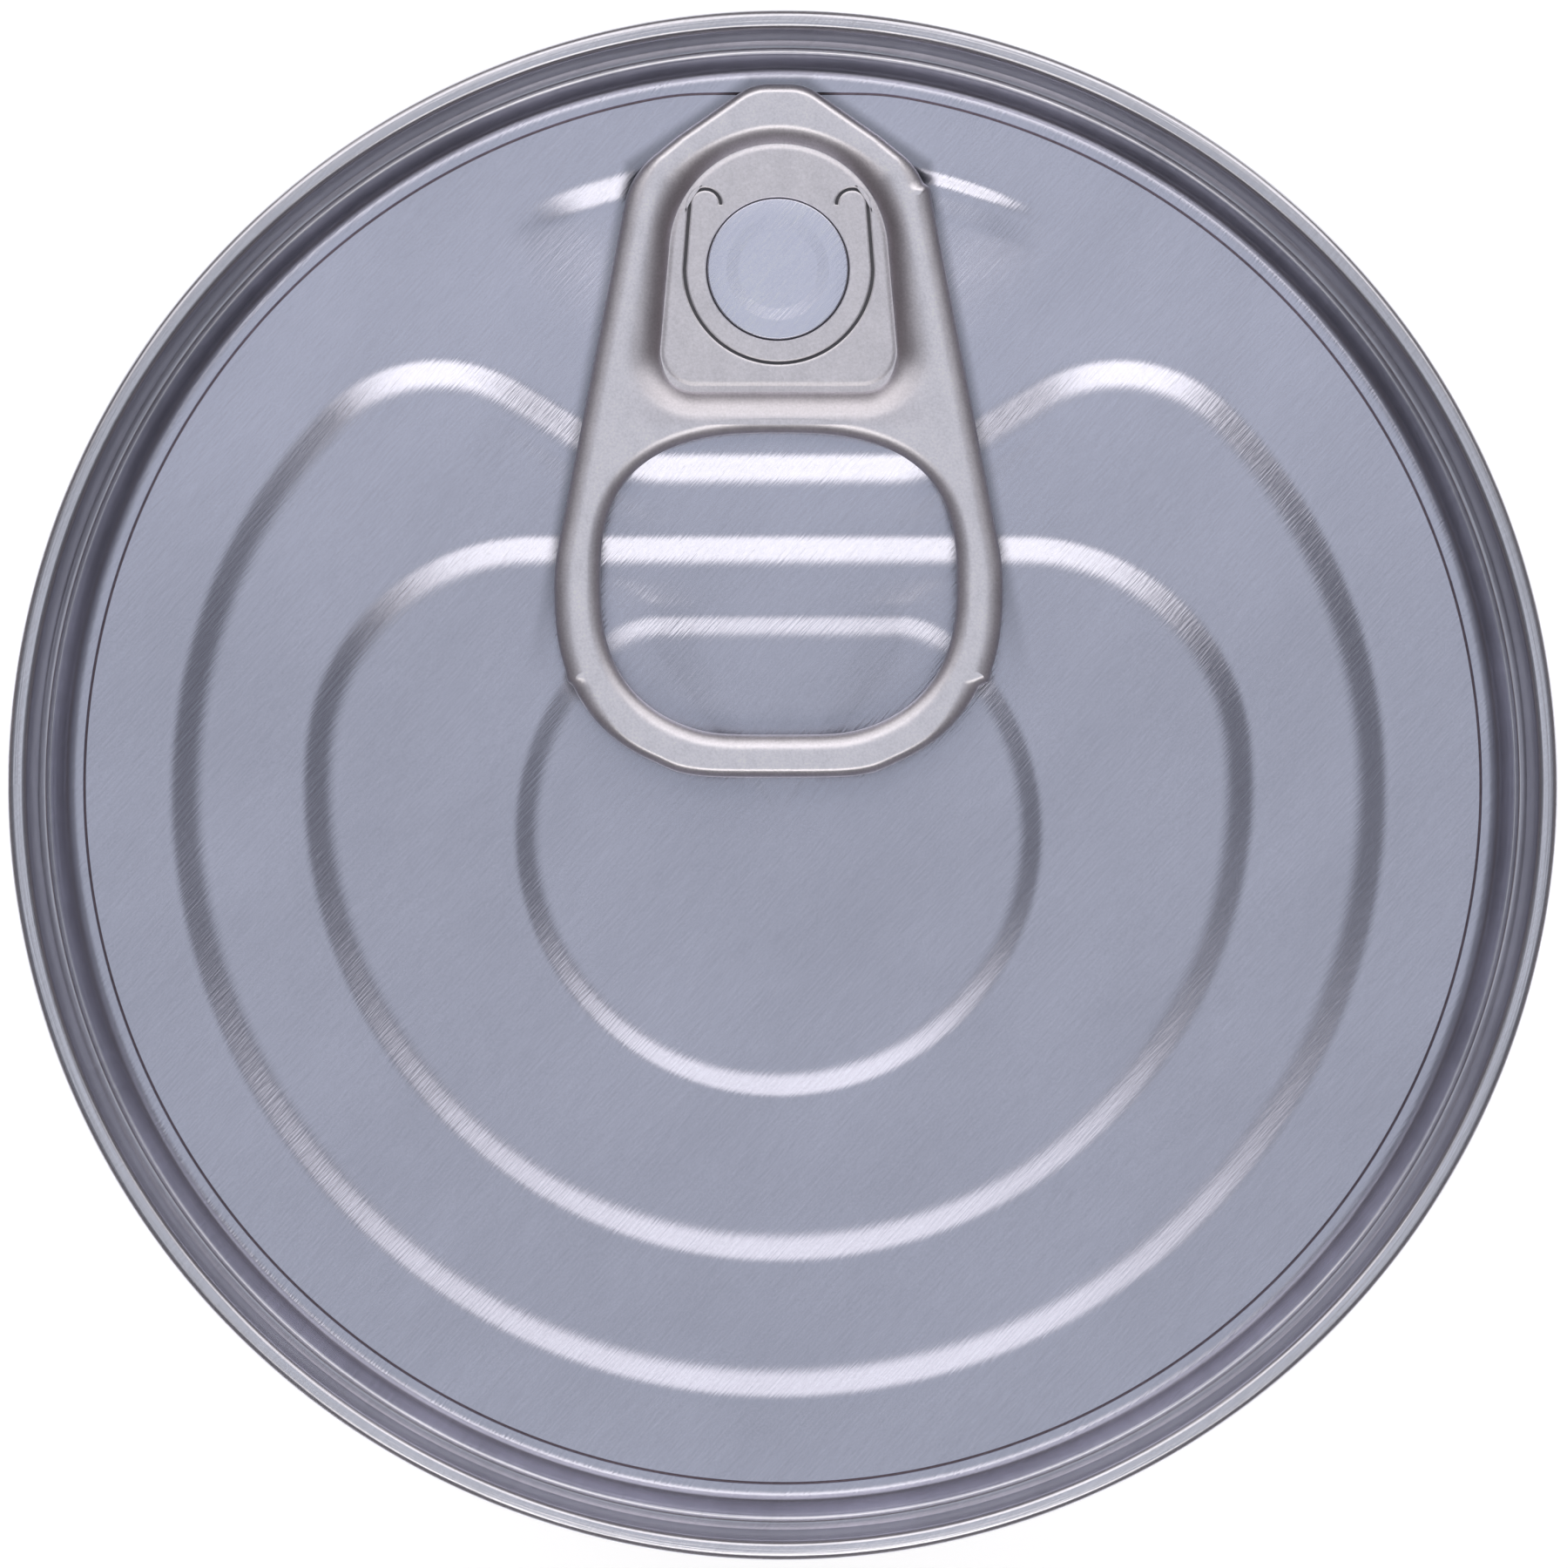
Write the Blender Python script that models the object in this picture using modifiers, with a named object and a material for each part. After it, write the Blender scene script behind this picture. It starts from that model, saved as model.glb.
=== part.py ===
"""A shut 73 x 110 mm food can with an easy-open lid: beaded body, plain bottom end, lid and pull tab.

The can stands upright on its bottom seam, centred on the Z axis. The tab's nose points along +Y.
"""

import math

import bmesh
import bpy

# Whole can
CAN_HEIGHT = 0.110
SEAM_RADIUS = 0.03815
SEAM_HEIGHT = 0.0030
BODY_RADIUS = 0.0365
GAP = 0.0003
ROUND_SEGMENTS = 64
LID_SEGMENTS = 96

# Double seam and countersink, the same on both ends. Depths are from the seam's end face inwards.
# Under the seam each end carries the can's wall on, down to where its plug meets the body.
SEAM_EDGE_ROUND = 0.00045
SEAM_INNER_RADIUS = 0.0369
SEAM_INNER_DEPTH = 0.0005
SEAM_HEM_ROUND = 0.0003
FOOT_INNER_RADIUS = 0.0374
FOOT_OUTER_RADIUS = 0.0378
COUNTERSINK_DEPTH = 0.0045
COUNTERSINK_OUTER_RADIUS = 0.0364
COUNTERSINK_INNER_RADIUS = 0.0361
PANEL_SHOULDER_RADIUS = 0.0353
PANEL_SHOULDER_DEPTH = 0.00345
PANEL_RADIUS = 0.0349
PANEL_DEPTH = 0.0032
PLUG_DEPTH = 0.0054

# Beads rolled into the body wall, in clusters
BEAD_DEPTH = 0.00045
BEAD_WIDTH = 0.0026
BEAD_PITCH = 0.0042
BEADS_PER_CLUSTER = 3
CLUSTER_HEIGHTS = (0.033, 0.055, 0.077)

# Expansion rings of the bottom end: radius and drop of each ramp, from the outside in
BOTTOM_RINGS = ((0.0292, 0.0005), (0.0225, 0.0005), (0.0150, -0.0004))
BOTTOM_RAMP = 0.0014

# Press tooling of the lid sits a little to one side of the can's axis
TOOL_SHIFT = -0.0002
SCORE_RADIUS = 0.03455
SCORE_HALF_WIDTH = 0.0001
SCORE_DEPTH = 0.0001

# Outer pressed step: a circle whose upper sides flatten into two lobes, with a straight run between them
OUTER_CENTRE_Y = -0.00025
OUTER_RADIUS = 0.02937
OUTER_SIDE_RADIUS = 0.02670
OUTER_LOBE_RADIUS = 0.00716
OUTER_LOBE_X = 0.01686
OUTER_DIP_SLOPE = math.radians(31)
OUTER_DIP_ROUND = 0.0052
OUTER_RUN_Y = 0.01567
OUTER_RAMP = 0.00145
OUTER_DROP = 0.00040

# Middle and inner pressed steps: circles cut off straight at the top, with rounded corners
MIDDLE_CENTRE_Y = -0.00007
MIDDLE_RADIUS = 0.02286
MIDDLE_RUN_Y = 0.01166
MIDDLE_CORNER = 0.01078
MIDDLE_RAMP = 0.0013
MIDDLE_DROP = 0.00035
INNER_CENTRE_Y = -0.00235
INNER_RADIUS = 0.01253
INNER_RUN_Y = 0.00786
INNER_CORNER = 0.00392
INNER_RAMP = 0.0010
INNER_DROP = 0.00028
PANEL_CENTRE_Y = -0.0015

# Shallow crescent pressed into the lid on both sides of the tab's nose
CRESCENT_INNER_RADIUS = 0.0290
CRESCENT_OUTER_RADIUS = 0.0312
CRESCENT_HALF_ANGLE = math.radians(25)
CRESCENT_DEPTH = 0.00018
CUTTER_REACH = 0.002

# Rivet drawn up out of the lid
RIVET_Y = 0.0255
RIVET_SHANK_RADIUS = 0.0022
RIVET_HEAD_RADIUS = 0.00347
RIVET_HEAD_THICKNESS = 0.00035
RIVET_HEAD_ROUND = 0.00012
RIVET_DISH_DEPTH = 0.0001
RIVET_DISH_SLOPE = 0.0003
RIVET_ROOT_DEPTH = 0.0008
RIVET_SEGMENTS = 32

# Pull tab
TAB_THICKNESS = 0.0011
TAB_EDGE_ROUND = 0.0004
TAB_NOSE_Y = 0.03454
TAB_NOSE_HALF_WIDTH = 0.00147
TAB_NOSE_ROUND = 0.0012
TAB_SHOULDER = (0.00717, 0.03054)
TAB_SHOULDER_ROUND = 0.0038
TAB_SIDE_SLOPE = math.radians(11)
TAB_SIDE_ROUND = 0.0100
TAB_HALF_WIDTH = 0.0110
TAB_END_Y = 0.00044
TAB_END_POWER = 2.42
HOLE_CENTRE_Y = 0.00997
HOLE_HALF_WIDTH = 0.0088
HOLE_HALF_HEIGHT = 0.00742
HOLE_UPPER_POWER = 2.75
HOLE_LOWER_POWER = 2.4
PAD_ARCH_Y = 0.0263
PAD_ARCH_RADIUS = 0.00525
PAD_FOOT_HALF_WIDTH = 0.00585
PAD_FOOT_Y = 0.01984
PAD_FOOT_ROUND = 0.0016
PAD_THICKNESS = 0.00035
PAD_LIFT = 0.00005
CHANNEL_WIDTH = 0.0011
CHANNEL_OVERLAP = 0.0004
RIVET_HOLE_RADIUS = 0.0025

LID_PANEL_Z = CAN_HEIGHT - PANEL_DEPTH
TAB_BOTTOM_Z = LID_PANEL_Z + GAP


# ---------------------------------------------------------------- outlines, as lists of (x, y)


def arc(centre_x, centre_y, radius, start, end, steps):
    """Points from the start angle to the end angle, both included."""
    points = []
    for i in range(steps + 1):
        angle = start + (end - start) * i / steps
        points.append((centre_x + radius * math.cos(angle), centre_y + radius * math.sin(angle)))
    return points


def mirrored(right_side):
    """A closed outline, counter-clockwise, from its right side given bottom to top."""
    left_side = [(-x, y) for x, y in reversed(right_side) if abs(x) > 1e-7]
    return right_side + left_side


def outer_step_outline():
    side_x = OUTER_RADIUS - OUTER_SIDE_RADIUS
    reach = OUTER_SIDE_RADIUS - OUTER_LOBE_RADIUS
    lobe_y = math.sqrt(reach**2 - (OUTER_LOBE_X - side_x) ** 2)
    lobe_start = math.atan2(lobe_y, OUTER_LOBE_X - side_x)
    lobe_end = math.pi / 2 + OUTER_DIP_SLOPE
    points = arc(0, 0, OUTER_RADIUS, -math.pi / 2, 0, 24)
    points += arc(side_x, 0, OUTER_SIDE_RADIUS, 0, lobe_start, 12)[1:]
    points += arc(OUTER_LOBE_X, lobe_y, OUTER_LOBE_RADIUS, lobe_start, lobe_end, 14)[1:]
    slope_x, slope_y = points[-1]
    run_y = OUTER_RUN_Y - OUTER_CENTRE_Y
    corner_x = slope_x - (slope_y - run_y) / math.tan(OUTER_DIP_SLOPE)
    round_x = corner_x - OUTER_DIP_ROUND * math.tan(OUTER_DIP_SLOPE / 2)
    dip = arc(
        round_x,
        run_y + OUTER_DIP_ROUND,
        OUTER_DIP_ROUND,
        -math.pi / 2 + OUTER_DIP_SLOPE,
        -math.pi / 2,
        6,
    )
    points += dip
    points.append((0, run_y))
    return [(x, y + OUTER_CENTRE_Y) for x, y in mirrored(points)]


def cut_circle_outline(centre_y, radius, run_y, corner):
    """A circle cut off straight at run_y, with corners that touch both the circle and the run."""
    corner_y = run_y - centre_y - corner
    corner_x = math.sqrt((radius - corner) ** 2 - corner_y**2)
    start = math.atan2(corner_y, corner_x)
    points = arc(0, 0, radius, -math.pi / 2, start, 28)
    points += arc(corner_x, corner_y, corner, start, math.pi / 2, 12)[1:]
    points.append((0, run_y - centre_y))
    return [(x, y + centre_y) for x, y in mirrored(points)]


def power_arc(half_width, half_height, power, start, end, steps):
    """Points of a rounded rectangle-like curve (|x/a|^n + |y/b|^n = 1), by angle."""
    points = []
    for i in range(steps + 1):
        angle = start + (end - start) * i / steps
        cos, sin = math.cos(angle), math.sin(angle)
        x = half_width * math.copysign(abs(cos) ** (2 / power), cos)
        y = half_height * math.copysign(abs(sin) ** (2 / power), sin)
        points.append((x, y))
    return points


def tab_outline():
    side_x = TAB_HALF_WIDTH - TAB_SIDE_ROUND
    shoulder_x, shoulder_y = TAB_SHOULDER
    bend_x = side_x + TAB_SIDE_ROUND * math.cos(TAB_SIDE_SLOPE)
    bend_y = shoulder_y - (bend_x - shoulder_x) / math.tan(TAB_SIDE_SLOPE)
    widest_y = bend_y - TAB_SIDE_ROUND * math.sin(TAB_SIDE_SLOPE)
    half_height = widest_y - TAB_END_Y
    end = power_arc(TAB_HALF_WIDTH, half_height, TAB_END_POWER, -math.pi / 2, 0, 16)
    points = [(abs(x), y + widest_y) for x, y in end]
    points += arc(side_x, widest_y, TAB_SIDE_ROUND, 0, TAB_SIDE_SLOPE, 3)[1:]
    drop = TAB_NOSE_Y - shoulder_y
    shoulder_slope = math.atan2(drop, shoulder_x - TAB_NOSE_HALF_WIDTH)
    points += rounded_corner(
        TAB_SHOULDER, TAB_SHOULDER_ROUND, TAB_SIDE_SLOPE, math.pi / 2 - shoulder_slope, 5
    )
    points += rounded_corner(
        (TAB_NOSE_HALF_WIDTH, TAB_NOSE_Y), TAB_NOSE_ROUND, math.pi / 2 - shoulder_slope, math.pi / 2, 3
    )
    points.append((0, TAB_NOSE_Y))
    return mirrored(points)


def rounded_corner(corner, radius, start, end, steps):
    """An arc in a corner between two sides whose outward normals are at the start and end angles."""
    half = (end - start) / 2
    middle = (start + end) / 2
    distance = radius / math.cos(half)
    centre_x = corner[0] - distance * math.cos(middle)
    centre_y = corner[1] - distance * math.sin(middle)
    return arc(centre_x, centre_y, radius, start, end, steps)


def hole_outline():
    lower = power_arc(HOLE_HALF_WIDTH, HOLE_HALF_HEIGHT, HOLE_LOWER_POWER, -math.pi / 2, 0, 12)
    upper = power_arc(HOLE_HALF_WIDTH, HOLE_HALF_HEIGHT, HOLE_UPPER_POWER, 0, math.pi / 2, 12)
    right_side = [(abs(x), y + HOLE_CENTRE_Y) for x, y in lower + upper[1:]]
    return mirrored(right_side)


def pad_outline(grow):
    """The flat pad round the rivet, grown outwards by the given distance."""
    foot = (PAD_FOOT_HALF_WIDTH + grow, PAD_FOOT_Y - grow)
    arch = PAD_ARCH_RADIUS + grow
    lean = math.atan2(PAD_FOOT_HALF_WIDTH - PAD_ARCH_RADIUS, PAD_ARCH_Y - PAD_FOOT_Y)
    points = [(0, foot[1])]
    points += rounded_corner(foot, PAD_FOOT_ROUND + grow, -math.pi / 2, lean, 4)
    points += arc(0, PAD_ARCH_Y, arch, lean, math.pi / 2, 10)
    return mirrored(points)


# ---------------------------------------------------------------- making shapes


def clear_scene():
    for obj in list(bpy.data.objects):
        bpy.data.objects.remove(obj)


def make_collection(name, is_helper=False):
    collection = bpy.data.collections.new(name)
    collection.hide_render = is_helper
    bpy.context.scene.collection.children.link(collection)
    return collection


def make_material(name, color, metallic, roughness):
    material = bpy.data.materials.new(name)
    material.use_nodes = True
    shader = material.node_tree.nodes["Principled BSDF"]
    shader.inputs["Base Color"].default_value = (*color, 1)
    shader.inputs["Metallic"].default_value = metallic
    shader.inputs["Roughness"].default_value = roughness
    return material


def object_from_mesh(name, mesh, collection, material=None):
    obj = bpy.data.objects.new(name, mesh)
    collection.objects.link(obj)
    if material:
        mesh.materials.append(material)
        mesh.shade_smooth()
        mesh.set_sharp_from_angle(angle=math.radians(30))
    return obj


def mark_as_helper(obj):
    obj.hide_render = True
    obj.display_type = "WIRE"


def turned(name, profile, collection, material=None, segments=ROUND_SEGMENTS):
    """Turns a profile of (radius, z) about Z. It runs from the axis at the top, down the outside, to the axis."""
    mesh = bpy.data.meshes.new(name)
    points = [(radius, 0, z) for radius, z in profile]
    mesh.from_pydata(points, [(i, i + 1) for i in range(len(points) - 1)], [])
    obj = bpy.data.objects.new(name, mesh)
    collection.objects.link(obj)
    screw = obj.modifiers.new("Turn", "SCREW")
    screw.axis = "Z"
    screw.angle = math.tau
    screw.steps = segments
    screw.render_steps = segments
    screw.use_merge_vertices = True
    screw.merge_threshold = 1e-6
    baked = bake(obj)
    return object_from_mesh(name, baked, collection, material)


def bake(obj):
    """The object's evaluated mesh, with its caps and seams welded. The object itself is removed."""
    bpy.context.view_layer.update()
    graph = bpy.context.evaluated_depsgraph_get()
    mesh = bpy.data.meshes.new_from_object(obj.evaluated_get(graph))
    mesh.transform(obj.matrix_world)
    mesh.name = obj.name
    bpy.data.objects.remove(obj)
    solid = bmesh.new()
    solid.from_mesh(mesh)
    bmesh.ops.remove_doubles(solid, verts=solid.verts, dist=1e-6)
    solid.to_mesh(mesh)
    solid.free()
    return mesh


def plate(name, outlines, bottom, top, edge_round, collection):
    """A flat plate between two heights: the first outline less the others, with rounded edges."""
    curve = bpy.data.curves.new(name, "CURVE")
    curve.dimensions = "2D"
    curve.fill_mode = "BOTH"
    curve.extrude = (top - bottom) / 2 - edge_round
    curve.bevel_depth = edge_round
    curve.bevel_resolution = 1
    curve.offset = -edge_round
    for outline in outlines:
        spline = curve.splines.new("POLY")
        spline.points.add(len(outline) - 1)
        for point, (x, y) in zip(spline.points, outline):
            point.co = (x, y, 0, 1)
        spline.use_cyclic_u = True
    obj = bpy.data.objects.new(name, curve)
    collection.objects.link(obj)
    obj.location = (TOOL_SHIFT, 0, (top + bottom) / 2)
    return object_from_mesh(name, bake(obj), collection)


def combine(target, other, operation):
    """Joins or cuts the target with another solid, and removes that solid."""
    boolean = target.modifiers.new(operation.title(), "BOOLEAN")
    boolean.operation = operation
    boolean.object = other
    boolean.solver = "EXACT"
    bpy.context.view_layer.update()
    graph = bpy.context.evaluated_depsgraph_get()
    mesh = bpy.data.meshes.new_from_object(target.evaluated_get(graph))
    target.modifiers.clear()
    target.data = mesh
    bpy.data.objects.remove(other)


def ray_length(outline, centre_y, angle):
    """How far the outline lies from the panel's centre in one direction."""
    cos, sin = math.cos(angle), math.sin(angle)
    longest = 0
    for i, (x0, y0) in enumerate(outline):
        x1, y1 = outline[(i + 1) % len(outline)]
        along_x, along_y = x1 - x0, y1 - y0
        cross = cos * along_y - sin * along_x
        if abs(cross) < 1e-12:
            continue
        from_x, from_y = x0, y0 - centre_y
        share = (sin * from_x - cos * from_y) / cross
        length = (from_x * along_y - from_y * along_x) / cross
        if -1e-9 <= share <= 1 + 1e-9 and length > longest:
            longest = length
    return longest


def step_rings(outline, ramp, top_z, drop, centre_y):
    """Two rings, outer then inner, of one pressed ramp whose middle follows the outline."""
    lengths = []
    for i in range(LID_SEGMENTS):
        angle = math.tau * i / LID_SEGMENTS
        lengths.append((angle, ray_length(outline, centre_y, angle)))
    middle = [
        (length * math.cos(angle), centre_y + length * math.sin(angle)) for angle, length in lengths
    ]
    rings = []
    for side, z in ((1, top_z), (-1, top_z - drop)):
        ring = []
        for i, (x, y) in enumerate(middle):
            before_x, before_y = middle[i - 1]
            after_x, after_y = middle[(i + 1) % LID_SEGMENTS]
            normal_x, normal_y = after_y - before_y, before_x - after_x
            size = math.hypot(normal_x, normal_y)
            reach = side * ramp / 2 / size
            ring.append((x + normal_x * reach + TOOL_SHIFT, y + normal_y * reach, z))
        rings.append(ring)
    return rings


def round_ring(radius, z):
    """A circle about the can's axis, whose points lie in the same directions as the steps' points."""
    ring = []
    for i in range(LID_SEGMENTS):
        angle = math.tau * i / LID_SEGMENTS
        ring.append((radius * math.cos(angle), radius * math.sin(angle), z))
    return ring


def seam_profile():
    """An end of the can, as (radius, depth) from its panel's edge, over the seam, down to its plug."""
    inner_bend = FOOT_INNER_RADIUS - SEAM_INNER_RADIUS
    outer_bend = SEAM_RADIUS - FOOT_OUTER_RADIUS
    profile = [
        (PANEL_RADIUS, PANEL_DEPTH),
        (PANEL_SHOULDER_RADIUS, PANEL_SHOULDER_DEPTH),
        (COUNTERSINK_INNER_RADIUS, COUNTERSINK_DEPTH),
        (COUNTERSINK_OUTER_RADIUS, COUNTERSINK_DEPTH),
        (SEAM_INNER_RADIUS, SEAM_INNER_DEPTH),
    ]
    for turn in (45, 90):
        angle = math.radians(turn)
        radius = FOOT_INNER_RADIUS - inner_bend * math.cos(angle)
        profile.append((radius, SEAM_INNER_DEPTH * (1 - math.sin(angle))))
    for turn in (0, 45, 90):
        angle = math.radians(turn)
        radius = FOOT_OUTER_RADIUS + outer_bend * math.sin(angle)
        profile.append((radius, SEAM_EDGE_ROUND * (1 - math.cos(angle))))
    profile.append((SEAM_RADIUS, SEAM_HEIGHT - SEAM_HEM_ROUND))
    profile.append((SEAM_RADIUS - SEAM_HEM_ROUND, SEAM_HEIGHT))
    profile.append((BODY_RADIUS, SEAM_HEIGHT))
    profile.append((BODY_RADIUS, PLUG_DEPTH))
    return profile


# ---------------------------------------------------------------- the four pieces


def make_can_body(collection, material):
    bottom = PLUG_DEPTH + GAP
    top = CAN_HEIGHT - bottom
    profile = [(0, top), (BODY_RADIUS, top)]
    for cluster_z in reversed(CLUSTER_HEIGHTS):
        for i in range(BEADS_PER_CLUSTER):
            bead_z = cluster_z + BEAD_PITCH * ((BEADS_PER_CLUSTER - 1) / 2 - i)
            profile += [
                (BODY_RADIUS, bead_z + BEAD_WIDTH / 2),
                (BODY_RADIUS - BEAD_DEPTH, bead_z),
                (BODY_RADIUS, bead_z - BEAD_WIDTH / 2),
            ]
    profile += [(BODY_RADIUS, bottom), (0, bottom)]
    return turned("can_body", profile, collection, material)


def make_bottom_end(collection, material):
    """The plain end, seamed on upside down: depths become heights above the floor."""
    profile = [(0, PLUG_DEPTH)]
    profile += reversed(seam_profile())
    height = PANEL_DEPTH
    for radius, drop in BOTTOM_RINGS:
        profile.append((radius + BOTTOM_RAMP / 2, height))
        height += drop
        profile.append((radius - BOTTOM_RAMP / 2, height))
    profile.append((0, height))
    return turned("bottom_end", profile, collection, material)


def make_lid(collection, helpers, material):
    z = LID_PANEL_Z
    outer = step_rings(outer_step_outline(), OUTER_RAMP, z, OUTER_DROP, PANEL_CENTRE_Y)
    z -= OUTER_DROP
    middle_outline = cut_circle_outline(MIDDLE_CENTRE_Y, MIDDLE_RADIUS, MIDDLE_RUN_Y, MIDDLE_CORNER)
    middle = step_rings(middle_outline, MIDDLE_RAMP, z, MIDDLE_DROP, PANEL_CENTRE_Y)
    z -= MIDDLE_DROP
    inner_outline = cut_circle_outline(INNER_CENTRE_Y, INNER_RADIUS, INNER_RUN_Y, INNER_CORNER)
    inner = step_rings(inner_outline, INNER_RAMP, z, INNER_DROP, PANEL_CENTRE_Y)
    z -= INNER_DROP
    rings = [round_ring(radius, CAN_HEIGHT - depth) for radius, depth in reversed(seam_profile())]
    for side, depth in ((1, 0), (0, SCORE_DEPTH), (-1, 0)):
        rings.append(round_ring(SCORE_RADIUS + side * SCORE_HALF_WIDTH, LID_PANEL_Z - depth))
    rings += outer + middle + inner
    lid = loft("lid", rings, CAN_HEIGHT - PLUG_DEPTH, (TOOL_SHIFT, PANEL_CENTRE_Y, z), collection)
    combine(lid, make_crescent_cutter(helpers), "DIFFERENCE")
    combine(lid, make_rivet(helpers), "UNION")
    finish(lid, material)
    return lid


def loft(name, rings, bottom_z, centre, collection):
    """Joins each ring to the next, closing the first one below and the last one at the panel's centre."""
    solid = bmesh.new()
    rows = [[solid.verts.new(point) for point in ring] for ring in rings]
    below = solid.verts.new((0, 0, bottom_z))
    middle = solid.verts.new(centre)
    for i in range(LID_SEGMENTS):
        j = (i + 1) % LID_SEGMENTS
        solid.faces.new((below, rows[0][j], rows[0][i]))
        solid.faces.new((middle, rows[-1][i], rows[-1][j]))
        for lower, upper in zip(rows, rows[1:]):
            solid.faces.new((lower[i], lower[j], upper[j], upper[i]))
    mesh = bpy.data.meshes.new(name)
    solid.to_mesh(mesh)
    solid.free()
    return object_from_mesh(name, mesh, collection)


def make_crescent_cutter(helpers):
    """An annular sector with round ends, whose floor lies just under the lid's panel."""
    middle = (CRESCENT_INNER_RADIUS + CRESCENT_OUTER_RADIUS) / 2
    end_radius = (CRESCENT_OUTER_RADIUS - CRESCENT_INNER_RADIUS) / 2
    first = math.pi / 2 - CRESCENT_HALF_ANGLE
    last = math.pi / 2 + CRESCENT_HALF_ANGLE
    outline = arc(0, 0, CRESCENT_OUTER_RADIUS, first, last, 20)
    far_end = (middle * math.cos(last), middle * math.sin(last))
    outline += arc(*far_end, end_radius, last, last + math.pi, 5)[1:-1]
    outline += arc(0, 0, CRESCENT_INNER_RADIUS, last, first, 20)
    near_end = (middle * math.cos(first), middle * math.sin(first))
    outline += arc(*near_end, end_radius, first + math.pi, first + math.tau, 5)[1:-1]
    floor = LID_PANEL_Z - CRESCENT_DEPTH
    cutter = plate("crescent", [outline], floor, LID_PANEL_Z + CUTTER_REACH, 0, helpers)
    mark_as_helper(cutter)
    return cutter


def make_rivet(helpers):
    head_bottom = TAB_BOTTOM_Z + PAD_LIFT + PAD_THICKNESS + GAP
    head_top = head_bottom + RIVET_HEAD_THICKNESS
    corner = RIVET_HEAD_RADIUS - RIVET_HEAD_ROUND
    profile = [
        (0, head_top - RIVET_DISH_DEPTH),
        (RIVET_SHANK_RADIUS, head_top - RIVET_DISH_DEPTH),
        (RIVET_SHANK_RADIUS + RIVET_DISH_SLOPE, head_top),
        (corner, head_top),
        (RIVET_HEAD_RADIUS, head_top - RIVET_HEAD_ROUND),
        (RIVET_HEAD_RADIUS, head_bottom),
        (RIVET_SHANK_RADIUS, head_bottom),
        (RIVET_SHANK_RADIUS, LID_PANEL_Z - RIVET_ROOT_DEPTH),
        (0, LID_PANEL_Z - RIVET_ROOT_DEPTH),
    ]
    rivet = turned("rivet", profile, helpers, segments=RIVET_SEGMENTS)
    rivet.location = (TOOL_SHIFT, RIVET_Y, 0)
    mark_as_helper(rivet)
    return rivet


def make_pull_tab(collection, helpers, material):
    channel = pad_outline(CHANNEL_WIDTH)
    tab = plate(
        "pull_tab",
        [tab_outline(), hole_outline(), channel],
        TAB_BOTTOM_Z,
        TAB_BOTTOM_Z + TAB_THICKNESS,
        TAB_EDGE_ROUND,
        collection,
    )
    rivet_hole = arc(0, RIVET_Y, RIVET_HOLE_RADIUS, 0, math.tau, RIVET_SEGMENTS)[:-1]
    pad_bottom = TAB_BOTTOM_Z + PAD_LIFT
    pad = plate(
        "pad",
        [pad_outline(CHANNEL_WIDTH + CHANNEL_OVERLAP), rivet_hole],
        pad_bottom,
        pad_bottom + PAD_THICKNESS,
        0,
        helpers,
    )
    mark_as_helper(pad)
    combine(tab, pad, "UNION")
    finish(tab, material)
    return tab


def finish(obj, material):
    obj.data.materials.clear()
    obj.data.materials.append(material)
    obj.data.shade_smooth()
    obj.data.set_sharp_from_angle(angle=math.radians(30))


def main():
    clear_scene()
    can = make_collection("food_can")
    helpers = make_collection("helpers", is_helper=True)
    tinplate = make_material("tinplate", (0.62, 0.62, 0.64), 1.0, 0.28)
    end_metal = make_material("end_metal", (0.56, 0.57, 0.61), 1.0, 0.30)
    lid_metal = make_material("lid_metal", (0.55, 0.57, 0.64), 1.0, 0.25)
    tab_metal = make_material("tab_metal", (0.72, 0.70, 0.73), 1.0, 0.35)
    make_can_body(can, tinplate)
    make_bottom_end(can, end_metal)
    make_lid(can, helpers, lid_metal)
    make_pull_tab(can, helpers, tab_metal)


main()
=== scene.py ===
import math

import bmesh
import bpy
import numpy as np
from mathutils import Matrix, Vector, noise
from mathutils.geometry import delaunay_2d_cdt


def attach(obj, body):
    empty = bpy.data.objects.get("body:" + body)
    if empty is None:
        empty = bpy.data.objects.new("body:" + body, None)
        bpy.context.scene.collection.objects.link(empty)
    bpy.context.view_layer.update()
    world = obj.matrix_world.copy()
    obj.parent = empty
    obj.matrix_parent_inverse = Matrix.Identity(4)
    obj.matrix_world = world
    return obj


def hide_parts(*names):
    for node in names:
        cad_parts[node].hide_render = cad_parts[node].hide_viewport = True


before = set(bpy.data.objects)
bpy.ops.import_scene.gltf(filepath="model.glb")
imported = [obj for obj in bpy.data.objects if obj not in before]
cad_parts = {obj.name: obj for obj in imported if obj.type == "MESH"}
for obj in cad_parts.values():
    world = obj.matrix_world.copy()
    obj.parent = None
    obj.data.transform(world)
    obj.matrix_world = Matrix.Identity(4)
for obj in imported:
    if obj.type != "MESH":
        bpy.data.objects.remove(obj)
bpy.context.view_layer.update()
mm = 0.001  # shapes are worked out in millimetres and scaled when their mesh is made
closeBy = 1e-6  # points nearer than this count as one
nearZero = 1e-12  # stands in for zero in a division

can = {
    "height": 110.0,
    "bodyRadius": 36.5,
    "toolShift": -0.2,  # the press tooling sits a little to one side of the axis
}


# outlines, as arrays of (x, y) running counter-clockwise

def arc(x, y, radius, start, end, steps):
    turn = np.linspace(start, end, steps + 1)
    return np.column_stack((x + radius * np.cos(turn), y + radius * np.sin(turn)))


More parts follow.
